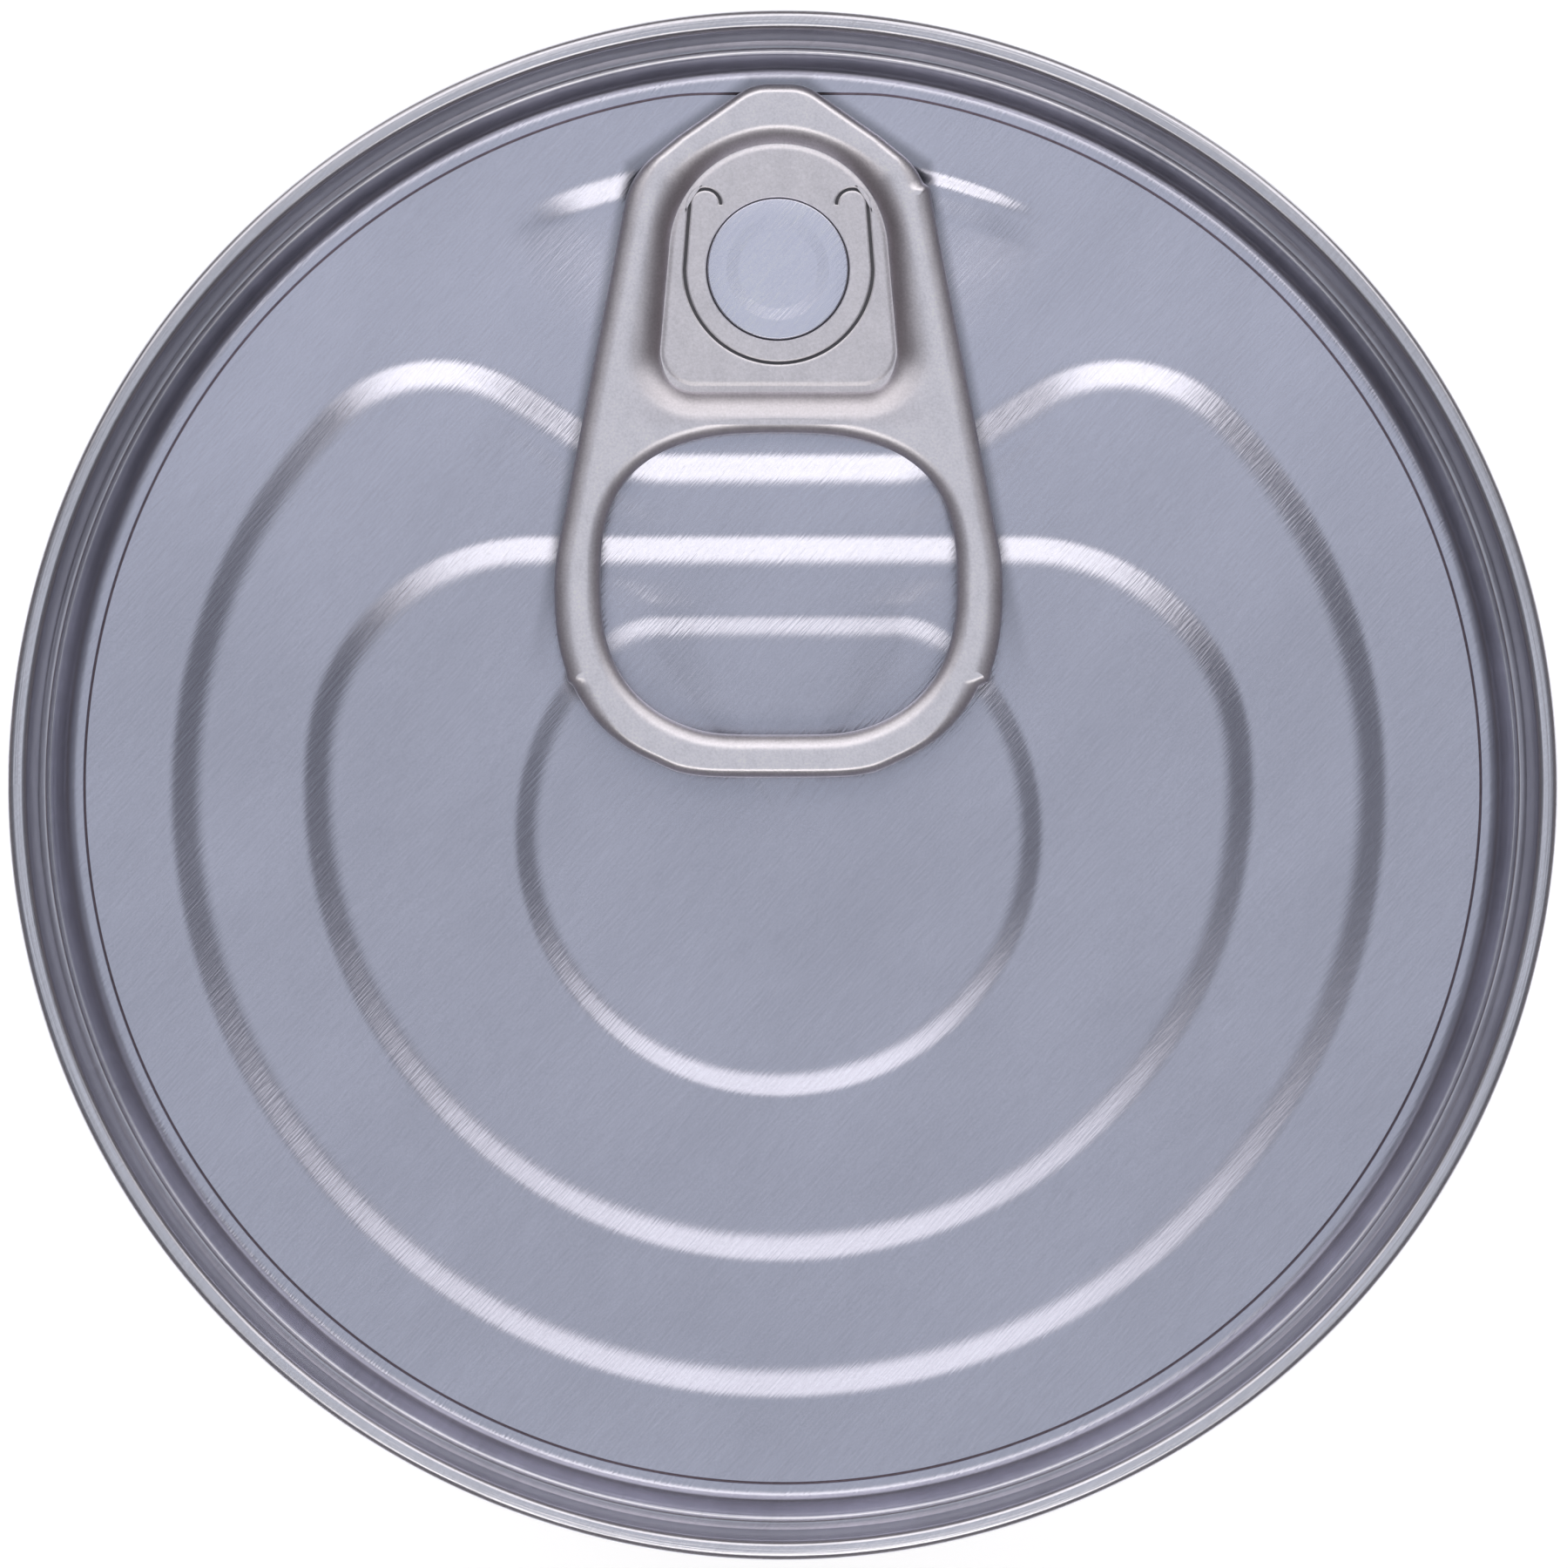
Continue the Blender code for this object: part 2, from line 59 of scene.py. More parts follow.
def roundedCorner(corner, radius, start, end, steps):
    # an arc between two sides whose outward normals are at the start and end angles
    distance = radius / math.cos((end - start) / 2)
    middle = (start + end) / 2
    x = corner[0] - distance * math.cos(middle)
    y = corner[1] - distance * math.sin(middle)
    return arc(x, y, radius, start, end, steps)


def powerArc(halfWidth, halfHeight, power, start, end, steps):
    turn = np.linspace(start, end, steps + 1)
    cos, sin = np.cos(turn), np.sin(turn)
    x = halfWidth * np.sign(cos) * np.abs(cos) ** (2 / power)
    y = halfHeight * np.sign(sin) * np.abs(sin) ** (2 / power)
    return np.column_stack((x, y))


def flattened(outline, lowest):
    # keeps the outline above a line, with a soft bend into it
    y = outline[:, 1]
    sharp = 9.0
    bendEnd = lowest + 2
    level = lowest - math.log(2) / sharp
    above = np.maximum(y, level) + np.log1p(np.exp(-sharp * np.abs(y - level))) / sharp
    return np.column_stack((outline[:, 0], np.where(y > bendEnd, y, above)))


def mirrored(rightSide):
    left = rightSide[::-1] * (-1, 1)
    return np.vstack((rightSide, left[np.abs(left[:, 0]) > closeBy]))


def evenly(outline, count):
    loop = np.vstack((outline, outline[:1]))
    along = np.concatenate(([0], np.cumsum(np.hypot(*np.diff(loop, axis=0).T))))
    stops = np.linspace(0, along[-1], count, endpoint=False)
    return np.column_stack([np.interp(stops, along, loop[:, i]) for i in (0, 1)])


def normalsOf(ring):
    along = np.roll(ring, -1, axis=0) - np.roll(ring, 1, axis=0)
    normals = np.column_stack((along[:, 1], -along[:, 0]))
    return normals / np.hypot(*normals.T)[:, None]


def smoothStep(low, high, value):
    share = np.clip((value - low) / (high - low), 0, 1)
    return share * share * (3 - 2 * share)


def filletPath(corners, degreesEach=9):
    # a path through (x, y, radius) corners, each rounded by its radius
    path = [corners[0][:2]]
    for before, (x, y, radius), after in zip(corners, corners[1:], corners[2:]):
        toBefore = Vector((before[0] - x, before[1] - y)).normalized()
        toAfter = Vector((after[0] - x, after[1] - y)).normalized()
        if radius == 0:
            path.append((x, y))
            continue
        half = toBefore.angle(toAfter) / 2
        middle = (toBefore + toAfter).normalized() * (radius / math.sin(half))
        start = -middle + toBefore * (radius / math.tan(half))
        turn = math.pi - 2 * half
        if toBefore.cross(toAfter) > 0:
            turn = -turn
        steps = max(3, round(math.degrees(abs(turn)) / degreesEach))
        for i in range(steps + 1):
            angle = turn * i / steps
            cos, sin = math.cos(angle), math.sin(angle)
            arm = (start.x * cos - start.y * sin, start.x * sin + start.y * cos)
            path.append((x + middle.x + arm[0], y + middle.y + arm[1]))
    path.append(corners[-1][:2])
    return np.array(path)


# making meshes

def makePiece(name, points, faces, material, sharpAngle=40):
    mesh = bpy.data.meshes.new(name)
    mesh.from_pydata((np.asarray(points) * mm).tolist(), [], faces)
    return dressMesh(name, mesh, material, sharpAngle)


def addObject(name, data):
    obj = bpy.data.objects.new(name, data)
    bpy.context.scene.collection.objects.link(obj)
    return obj


def dressMesh(name, mesh, material, sharpAngle):
    solid = bmesh.new()
    solid.from_mesh(mesh)
    bmesh.ops.remove_doubles(solid, verts=solid.verts, dist=1e-7)
    bmesh.ops.recalc_face_normals(solid, faces=solid.faces)
    solid.to_mesh(mesh)
    solid.free()
    mesh.materials.clear()
    mesh.materials.append(material)
    mesh.shade_smooth()
    mesh.set_sharp_from_angle(angle=math.radians(sharpAngle))
    return addObject(name, mesh)


def loft(rings, capFirst=None, capLast=None):
    # joins closed rings of (x, y, z); a cap is the point that closes an end
    count = len(rings[0])
    points = [tuple(p) for ring in rings for p in ring]
    faces = []
    for a in range(0, len(points) - count, count):
        b = a + count
        for i in range(count):
            j = (i + 1) % count
            faces.append((a + i, a + j, b + j, b + i))
    for cap, base in ((capFirst, 0), (capLast, (len(rings) - 1) * count)):
        if cap is None:
            continue
        points.append(tuple(cap))
        for i in range(count):
            faces.append((len(points) - 1, base + i, base + (i + 1) % count))
    return points, faces


def atHeight(ring, z):
    return np.column_stack((ring, np.full(len(ring), z)))


def turnedRings(profile, count, x=0.0, y=0.0):
    turn = np.linspace(0, math.tau, count, endpoint=False)
    circle = np.column_stack((np.cos(turn), np.sin(turn)))
    return [atHeight((x, y) + radius * circle, z) for radius, z in profile]


# node trees

def bothWays(operation):
    # an operator and its reflected form, each adding a Math node
    def forward(self, other):
        return self.bench.maths(operation, self, other)

    def reflected(self, other):
        return self.bench.maths(operation, other, self)

    return forward, reflected


class Wire:
    # a value, colour or vector on its way through a node tree
    __add__, __radd__ = bothWays("ADD")
    __sub__, __rsub__ = bothWays("SUBTRACT")
    __mul__, __rmul__ = bothWays("MULTIPLY")
    __truediv__, __rtruediv__ = bothWays("DIVIDE")
    __pow__, __rpow__ = bothWays("POWER")

    def __init__(self, bench, socket):
        self.bench = bench
        self.socket = socket

    def maths(self, operation, *others):
        return self.bench.maths(operation, self, *others)

    def __neg__(self):
        return self.maths("MULTIPLY", -1.0)


class Bench:
    # where a tree's nodes are made and joined
    def __init__(self, tree):
        self.tree = tree

    def node(self, kind, settings, values, output=0):
        node = self.tree.nodes.new(kind)
        for name, value in settings.items():
            if name == "stops":
                self.setStops(node.color_ramp, value)
            else:
                setattr(node, name, value)
        for name, value in values.items():
            if isinstance(value, Wire):
                self.tree.links.new(value.socket, node.inputs[name])
            else:
                node.inputs[name].default_value = value
        return Wire(self, node.outputs[output]) if node.outputs else None

    def setStops(self, ramp, stops):
        while len(ramp.elements) < len(stops):
            ramp.elements.new(0.5)
        for element, (place, shade) in zip(ramp.elements, stops):
            element.position = place
            element.color = (*shade, 1)

    def maths(self, operation, *values):
        return self.node("ShaderNodeMath", {"operation": operation}, dict(enumerate(values)))

    def axes(self, vector):
        # its x, y and z
        return [self.node("ShaderNodeSeparateXYZ", {}, {0: vector}, axis) for axis in "XYZ"]

    def fade(self, value, start, end):
        # from 0 at the start to 1 at the end, which may be the lower of the two
        settings = {"interpolation_type": "SMOOTHSTEP"}
        return self.node("ShaderNodeMapRange", settings, {"Value": value, 1: start, 2: end})

    def within(self, places, zone):
        # the product of a zone's fades, each by one of the named places
        share = 1
        for name, start, end in zone:
            share = share * self.fade(places[name], start, end)
        return share

    def mix(self, share, first, second):
        # lays a share of the second colour over the first
        first, second = [c if isinstance(c, Wire) else (*c, 1) for c in (first, second)]
        return self.node("ShaderNodeMix", {"data_type": "RGBA"}, {0: share, 6: first, 7: second}, 2)

    def dimmed(self, shade, tone):
        return self.node("ShaderNodeVectorMath", {"operation": "SCALE"}, {0: shade, "Scale": tone})

    def mapped(self, vector, size, turn=0.0):
        # coordinates in units of a feature's size in millimetres, turned to run along it
        values = {"Vector": vector, "Rotation": (0, 0, turn), "Scale": [side * mm for side in size]}
        return self.node("ShaderNodeMapping", {"vector_type": "TEXTURE"}, values)

    def cloud(self, vector, detail=2.0, roughness=0.5):
        values = {"Vector": vector, "Scale": 1.0, "Detail": detail, "Roughness": roughness}
        return self.node("ShaderNodeTexNoise", {}, values)

    def bump(self, height, depth, below=None):
        # depth is in millimetres
        values = {"Height": height, "Strength": 1.0, "Distance": depth * mm}
        if below is not None:
            values["Normal"] = below
        return self.node("ShaderNodeBump", {}, values)


def newMaterial(name):
    material = bpy.data.materials.new(name)
    material.use_nodes = True
    material.node_tree.nodes.clear()
    return material, Bench(material.node_tree)


# camera, floor and light

view = {"x": 0.043, "y": 0.056, "height": 609.0, "lens": 233.0}

studio = {
    "floorGlow": 0.72,
    "floorSide": 660.0,
    "north": {
        "glow": (1.55, 1.495, 1.485),
        "middle": 0.0,
        "zone": (("reach", 0.19, 0.42), ("reach", 0.92, 0.62), ("off", 0.68, 0.50)),
    },
    "south": {
        "glow": (2.12, 2.03, 1.96),
        "middle": -0.01,
        "zone": (("reach", 0.22, 0.41), ("reach", 0.68, 0.56), ("off", 0.41, 0.17)),
    },
    "sky": [  # brightness by height, from straight down over level to straight up
        (0.0, (0.30, 0.30, 0.31)),
        (0.47, (0.16, 0.16, 0.165)),
        (0.50, (0.34, 0.34, 0.34)),
        (0.52, (0.17, 0.14, 0.145)),
        (0.70, (0.10, 0.093, 0.10)),
        (0.92, (0.105, 0.108, 0.13)),
        (0.965, (0.15, 0.16, 0.19)),
        (0.985, (0.43, 0.455, 0.505)),
        (1.0, (0.555, 0.585, 0.65)),
    ],
}


def makeCamera():
    data = bpy.data.cameras.new("camera")
    data.lens = view["lens"]
    data.sensor_width = 36.0
    data.clip_start = 0.01
    data.clip_end = 20.0
    camera = addObject("camera", data)
    camera.location = (view["x"] * mm, view["y"] * mm, view["height"] * mm)
    bpy.context.scene.camera = camera


def softBox(bench, reach, across, sky, box):
    # a wide soft box whose edges fade out, placed by how far it leans from straight up
    places = {"reach": reach, "off": (across - box["middle"]).maths("ABSOLUTE")}
    return bench.mix(bench.within(places, box["zone"]), sky, box["glow"])


def makeSky():
    world = bpy.data.worlds.new("studioSky")
    world.use_nodes = True
    world.node_tree.nodes.clear()
    bench = Bench(world.node_tree)
    across, north, height = bench.axes(bench.node("ShaderNodeTexCoord", {}, {}))
    sky = bench.node("ShaderNodeValToRGB", {"stops": studio["sky"]}, {0: height * 0.5 + 0.5})
    sky = softBox(bench, north, across, sky, studio["north"])
    sky = softBox(bench, -north, across, sky, studio["south"])
    # the camera sees plain white behind the can
    seen = bench.node("ShaderNodeLightPath", {}, {})
    shade = bench.mix(seen, sky, (1, 1, 1))
    background = bench.node("ShaderNodeBackground", {}, {"Color": shade, "Strength": 1.0})
    bench.node("ShaderNodeOutputWorld", {}, {"Surface": background})
    bpy.context.scene.world = world


def makeFloor():
    material, bench = newMaterial("paleFloor")
    values = {
        "Base Color": (0.85, 0.85, 0.85, 1),
        "Roughness": 0.9,
        "Emission Color": (1, 1, 1, 1),
        "Emission Strength": studio["floorGlow"],
    }
    shader = bench.node("ShaderNodeBsdfPrincipled", {}, values)
    bench.node("ShaderNodeOutputMaterial", {}, {"Surface": shader})
    side = studio["floorSide"] / 2
    corners = [(-side, -side, 0), (side, -side, 0), (side, side, 0), (-side, side, 0)]
    floor = makePiece("studioFloor", corners, [(0, 1, 2, 3)], material)


makeCamera()
makeSky()
makeFloor()
bpy.context.scene.view_settings.view_transform = "Standard"
print("camera, floor and light are set")


# metals, in millimetres: a zone lists its fades as (name, from nothing, to full)

mill = {"angle": math.radians(48), "length": 1.6, "width": 0.12}  # the lines that rolling leaves

lidLook = {
    "shade": (0.57, 0.58, 0.675),
    "roughness": 0.19,
    "haze": (0.24, 0.52),  # share and roughness of a wider gloss under the main one
    "tone": 0.765,
    "grain": {"depth": 0.012, "tone": 0.23, "roughness": 0.06},
    "speck": {"size": (0.11, 0.11, 0.11), "depth": 0.0004, "tone": 0.16},
    "clouds": {"size": (9, 5, 9), "depth": 0.02, "tone": 0.19},
    "rubs": {"width": 0.12, "length": 9.0},
    # painted light and shade: the panel's colour is lighter towards the north, and the rim's there darker
    "north": {"zone": (("y", 2, 24),), "tone": 0.15, "paintedRimShade": 0.25},
    "rim": {"zone": (("radius", 35.2, 35.6),), "shade": (0.60, 0.595, 0.65)},
    "crown": {"zone": (("radius", 37.2, 37.5),), "shade": (0.76, 0.76, 0.82)},
    "button": {"zone": (("z", 107.6, 107.65), ("radius", 30.1, 30)), "shade": (0.71, 0.72, 0.835)},
    # painted light: the countersink's foot is painted lighter than the rest of the rim, standing in for light
    # reflected down into it
    "foot": {
        "zone": (("radius", 35.2, 35.6), ("z", 106.6, 106), ("radius", 36.8, 36.5)),
        "shade": (0.73, 0.73, 0.79),
    },
    "score": {
        "zone": (("z", 106.74, 106.64), ("radius", 33.8, 33.9), ("radius", 35.1, 34.9)),
        "shade": (0.42, 0.36, 0.37),  # painted shade: the score line's groove is darkened
        "share": 0.85,
    },
    "tabShadowBand": {  # the painted shadow of the tab on the lid, a darker band along its nose and its slanted sides, which are (x, y, distance)
        "noseY": 34.62,
        "slants": ((0.571, 0.821, 29.17), (0.982, 0.191, 12.87)),
        "zone": (("off", 0.75, 0.1), ("y", 4, 14)),
        "loss": 0.42,
    },
}

tabLook = {
    "shade": (0.93, 0.91, 0.965),
    "roughness": 0.27,
    "haze": (0.28, 0.58),
    "tone": 0.72,
    "fine": {"size": (0.12, 0.12, 0.12), "depth": 0.005, "tone": 0.38},
    "patches": {"size": (0.8, 1.4, 0.8), "depth": 0.006, "tone": 0.18, "roughness": 0.08},
    # painted shade below these heights: the cuts and the undersides of the rolls
    "cut": {"z": (107.25, 107.53), "tone": 0.25},
    # below the top flat the metal is rougher, and darker as a painted shade that dims the highlights of the
    # rolls
    "slope": {"z": (108.19, 108.12), "loss": 0.08, "roughness": 0.1},
    # the colour of the painted shade on the pad's walls and on the bar above the finger hole
    "paintedShadeColour": (0.42, 0.36, 0.37),
    "walls": {"archY": 26.3, "archRadius": 5.25, "lean": 0.093},  # the walls round the rivet's pad
    # where the painted shade lies, as (share, zone): the pad's side walls, then the bar above the finger hole
    "paintedShadeZones": (
        (0.5, (("off", 0.05, 0.3), ("off", 1.35, 0.6), ("x", 2, 4.8), ("y", 20.2, 21.6))),
        (0.15, (("y", 17.4, 18.1), ("y", 19.9, 19.3), ("x", 8, 5.5))),
    ),
}

tinLook = {
    "shade": (0.60, 0.60, 0.63),
    "roughness": 0.17,
    "tone": 0.92,
    "lines": {"width": 0.25, "length": 14.0, "depth": 0.0014, "tone": 0.08},
    "stains": {"size": (11, 11, 6), "depth": 0.015, "tone": 0.06, "roughness": 0.08},
    "weld": {"off": (0.75, 0.45), "loss": 0.42, "roughness": 0.2},
    "heat": {"off": (3.2, 0.5), "loss": 0.08},
}


def objectPlace(bench):
    # a point's place on its piece, and its x, y and z in millimetres
    place = bench.node("ShaderNodeTexCoord", {}, {}, "Object")
    return place, [axis / mm for axis in bench.axes(place)]


def millGrain(bench, place):
    lines = bench.mapped(place, (mill["length"], mill["width"], 1000), mill["angle"])
    return bench.cloud(lines, detail=3.0, roughness=0.6)


def aroundAxis(x, y):
    # distance from the can's axis and the angle round it
    return (x * x + y * y) ** 0.5, y.maths("ARCTAN2", x)


def turnedLines(bench, radius, angle, height, look):
    # lines that run round the can, at their true length near its rim
    rimRadius = 37.0
    width = look["width"]
    values = {0: radius / width, 1: angle * (rimRadius / look["length"]), 2: height / width}
    return bench.cloud(bench.node("ShaderNodeCombineXYZ", {}, values), detail=2.0)


def tabShadow(bench, x, y):
    # painted shadow: the lid's colour is darkened in a narrow band along the tab's nose and sides
    look = lidLook["tabShadowBand"]
    x = (x - can["toolShift"]).maths("ABSOLUTE")
    off = y - look["noseY"]
    for alongX, alongY, distance in look["slants"]:
        off = off.maths("MAXIMUM", x * alongX + y * alongY - distance)
    near = bench.within({"off": off.maths("ABSOLUTE"), "y": y}, look["zone"])
    return 1 - near * look["loss"]


def layered(bench, look, patterns, relief=None):
    # the brightness and the relief that a look's named patterns add up to
    tone = look["tone"]
    for name, pattern in patterns.items():
        tone = tone + pattern * look[name]["tone"]
        relief = bench.bump(pattern, look[name]["depth"], relief)
    return tone, relief


def finishMetal(bench, look, shade, tone, roughness, relief):
    values = {
        "Base Color": bench.dimmed(shade, tone),
        "Metallic": 1.0,
        "Roughness": look["roughness"] + roughness,
        "Normal": relief,
    }
    shader = bench.node("ShaderNodeBsdfPrincipled", {}, values)
    if "haze" in look:
        share, wideRoughness = look["haze"]
        wide = bench.node("ShaderNodeBsdfPrincipled", {}, {**values, "Roughness": wideRoughness})
        shader = bench.node("ShaderNodeMixShader", {}, {0: share, 1: shader, 2: wide})
    bench.node("ShaderNodeOutputMaterial", {}, {"Surface": shader})


def makeLidMetal():
    material, bench = newMaterial("lidMetal")
    place, (x, y, z) = objectPlace(bench)
    radius, angle = aroundAxis(x, y)
    look = lidLook
    places = {"radius": radius, "y": y, "z": z}
    rim = bench.within(places, look["rim"]["zone"])
    grain = millGrain(bench, place)
    rubs = turnedLines(bench, radius, angle, z, look["rubs"])
    speck = bench.cloud(bench.mapped(place, look["speck"]["size"]), detail=1.0)
    clouds = bench.cloud(bench.mapped(place, look["clouds"]["size"], mill["angle"]), detail=3.0)
    relief = bench.bump(grain * (1 - rim) + rubs * rim, look["grain"]["depth"])
    tone, relief = layered(bench, look, {"speck": speck, "clouds": clouds}, relief)
    north = look["north"]
    tone = tone + grain * look["grain"]["tone"]
    # painted light on the panel towards the north, painted shade on the rim there
    tone = tone + bench.within(places, north["zone"]) * (north["tone"] - rim * north["paintedRimShade"])
    # painted shadow of the tab on the lid
    tone = tone * tabShadow(bench, x, y)
    shade = look["shade"]
    # the rim's, the crown's and the rivet's own shades, painted light in the countersink's foot and painted
    # shade in the score line
    for name in ("rim", "crown", "button", "foot", "score"):
        share = bench.within(places, look[name]["zone"]) * look[name].get("share", 1)
        shade = bench.mix(share, shade, look[name]["shade"])
    finishMetal(bench, look, shade, tone, grain * look["grain"]["roughness"], relief)
    return material


def paintedWallShade(bench, x, y):
    # painted shade: the walls round the rivet's pad are darkened where they drop to it, and the bar above the
    # finger hole is darkened to dim its highlight
    walls = tabLook["walls"]
    x = (x - can["toolShift"]).maths("ABSOLUTE")
    beyond = (y - walls["archY"]).maths("MAXIMUM", 0.0)
    before = (walls["archY"] - y).maths("MAXIMUM", 0.0)
    off = (x * x + beyond * beyond) ** 0.5 - before * walls["lean"] - walls["archRadius"]
    places = {"x": x, "y": y, "off": off}
    sides, south = [bench.within(places, zone) * share for share, zone in tabLook["paintedShadeZones"]]
    return sides + south


def makeTabMetal():
    material, bench = newMaterial("tabMetal")
    place, (x, y, z) = objectPlace(bench)
    look = tabLook
    fine = bench.cloud(bench.mapped(place, look["fine"]["size"]), detail=2.0, roughness=0.6)
    patches = bench.cloud(bench.mapped(place, look["patches"]["size"]), detail=3.0)
    tone, relief = layered(bench, look, {"fine": fine, "patches": patches})
    # painted shade: the cuts and the undersides of the rolls are darkened in colour
    cut = look["cut"]["tone"]
    tone = tone * (cut + bench.fade(z, *look["cut"]["z"]) * (1 - cut))
    # rolling leaves the slopes rougher than the flats; their colour is also darkened, a painted shade that
    # dims their highlights
    slope = bench.fade(z, *look["slope"]["z"])
    tone = tone * (1 - slope * look["slope"]["loss"])
    roughness = patches * look["patches"]["roughness"] + slope * look["slope"]["roughness"]
    # painted shade on the pad's walls and on the bar above the finger hole
    shade = bench.mix(paintedWallShade(bench, x, y), look["shade"], look["paintedShadeColour"])
    finishMetal(bench, look, shade, tone, roughness, relief)
    return material


def makeTinplate(name, sideWeld):
    material, bench = newMaterial(name)
    place, (x, y, z) = objectPlace(bench)
    radius, angle = aroundAxis(x, y)
    look = tinLook
    if sideWeld:
        lines = turnedLines(bench, radius, angle, z, look["lines"])
    else:
        lines = millGrain(bench, place)
    stains = bench.cloud(bench.mapped(place, look["stains"]["size"]), detail=3.0)
    tone, relief = layered(bench, look, {"lines": lines, "stains": stains})
    roughness = stains * look["stains"]["roughness"]
    if sideWeld:
        off = (angle - math.pi / 2).maths("ABSOLUTE") * can["bodyRadius"]
        weld, heat = [bench.fade(off, *look[name]["off"]) for name in ("weld", "heat")]
        tone = tone * (1 - weld * look["weld"]["loss"] - heat * look["heat"]["loss"])
        roughness = roughness + weld * look["weld"]["roughness"]
    finishMetal(bench, look, look["shade"], tone, roughness, relief)
    return material


lidMetal = makeLidMetal()
tabMetal = makeTabMetal()
wallTin = makeTinplate("wallTinplate", True)
endTin = makeTinplate("endTinplate", False)
print("metals are mixed")


# rim, the same on both ends: heights are from the end face inwards

rim = {
    "panelDepth": 3.2,
    "plugStart": 2.75,
    "plugDepth": 5.4,
    "plugRadius": 36.4,
    "corners": [  # radius, depth and rounding, from the panel over the seam to the body
        (34.85, 3.2, 0),
        (35.4, 3.2, 0.85),
        (36.25, 4.5, 0.2),
        (36.58, 4.5, 0.34),
        (37.2, 0.0, 0.33),
        (38.15, 0.06, 0.36),
        (38.15, 3.0, 0.3),
        (37.25, 3.0, 0.25),
        (36.62, 2.7, 0),
        (36.45, 2.7, 0),
    ],
}


def rimPath():
    # radius and depth, with the long walls divided so that their shading stays even
    longWall, shortWall = 1.2, 0.25
    path = filletPath(rim["corners"])
    full = [path[0]]
    for before, after in zip(path, path[1:]):
        gap = math.dist(before, after)
        steps = 4 if gap > longWall else 2 if gap > shortWall else 1
        for i in range(1, steps + 1):
            full.append(before + (after - before) * i / steps)
    return np.array(full)


# lid: panel with three pressed steps, score line, crescent, countersink and double seam

lid = {
    "count": 512,  # points in each ring
    "centreY": -1.5,
    "rampSoft": (0.26, 0.42),  # share of a ramp's width taken by its outer and inner rounding
    "fall": 0.021,  # slope of the flats between the steps, towards the middle
    "flatShares": (0.2, 0.4, 0.6, 0.8),
    "score": {
        "radius": 34.55,
        "flatY": 34.22,  # the line runs straight across under the tab's nose
        "width": 0.14,
        "depth": 0.17,
        "profile": ((-0.6, 0), (-0.5, 0), (-0.22, 0.8), (0, 1), (0.22, 0.8), (0.5, 0), (0.6, 0)),
        "margins": (-0.35, -0.15),  # where flat sheet has rings before it
    },
    "outer": {"y": -0.25, "ramp": 2.2, "drop": 0.41},
    "middle": {"y": -0.07, "radius": 22.86, "runY": 11.66, "corner": 10.78, "ramp": 2.1, "drop": 0.375},
    "inner": {
        "y": -2.35,
        "radius": 12.53,
        "runY": 7.86,
        "corner": 3.92,
        "ramp": 1.7,
        "drop": 0.27,
        "lean": 0.2,  # pressed deeper towards the near side than the far side
    },
    "lobes": {
        "radius": 29.37,
        "sideRadius": 26.70,
        "lobeRadius": 7.16,
        "lobeX": 16.86,
        "dipSlope": math.radians(31),
        "dipRound": 5.2,
        "runY": 15.67,
    },
    "crescent": {
        "depth": 0.34,
        "ends": (math.radians(24) - 0.10, math.radians(24) + 0.06),
        "radius": (22, 32.5),
        "rise": (23.0, 30.0),
        "leftWall": ((1, 31.5, 1.7),),  # share, outer radius and width of each wall
        "rightWall": ((0.62, 31.42, 0.85), (0.38, 30.55, 1.5)),
    },
    "wave": {"depth": 0.02, "length": 9, "level": 3.7, "radius": (33, 34.3), "end": 34.6},
}


def outerStepOutline():
    shape = lid["lobes"]
    sideX = shape["radius"] - shape["sideRadius"]
    reach = shape["sideRadius"] - shape["lobeRadius"]
    lobeY = math.sqrt(reach**2 - (shape["lobeX"] - sideX) ** 2)
    lobeStart = math.atan2(lobeY, shape["lobeX"] - sideX)
    slope = shape["dipSlope"]
    lobe = arc(shape["lobeX"], lobeY, shape["lobeRadius"], lobeStart, math.pi / 2 + slope, 60)
    runY = shape["runY"] - lid["outer"]["y"]
    cornerX = lobe[-1][0] - (lobe[-1][1] - runY) / math.tan(slope)
    roundX = cornerX - shape["dipRound"] * math.tan(slope / 2)
    dipY = runY + shape["dipRound"]
    dip = arc(roundX, dipY, shape["dipRound"], slope - math.pi / 2, -math.pi / 2, 24)
    rightSide = [
        arc(0, 0, shape["radius"], -math.pi / 2, 0, 120),
        arc(sideX, 0, shape["sideRadius"], 0, lobeStart, 60)[1:],
        lobe[1:],
        dip,
        [(0, runY)],
    ]
    return mirrored(np.vstack(rightSide)) + (0, lid["outer"]["y"])


def cutCircleOutline(shape):
    cornerY = shape["runY"] - shape["y"] - shape["corner"]
    cornerX = math.sqrt((shape["radius"] - shape["corner"]) ** 2 - cornerY**2)
    start = math.atan2(cornerY, cornerX)
    rightSide = [
        arc(0, 0, shape["radius"], -math.pi / 2, start, 140),
        arc(cornerX, cornerY, shape["corner"], start, math.pi / 2, 60)[1:],
        [(0, shape["runY"] - shape["y"])],
    ]
    return mirrored(np.vstack(rightSide)) + (0, shape["y"])


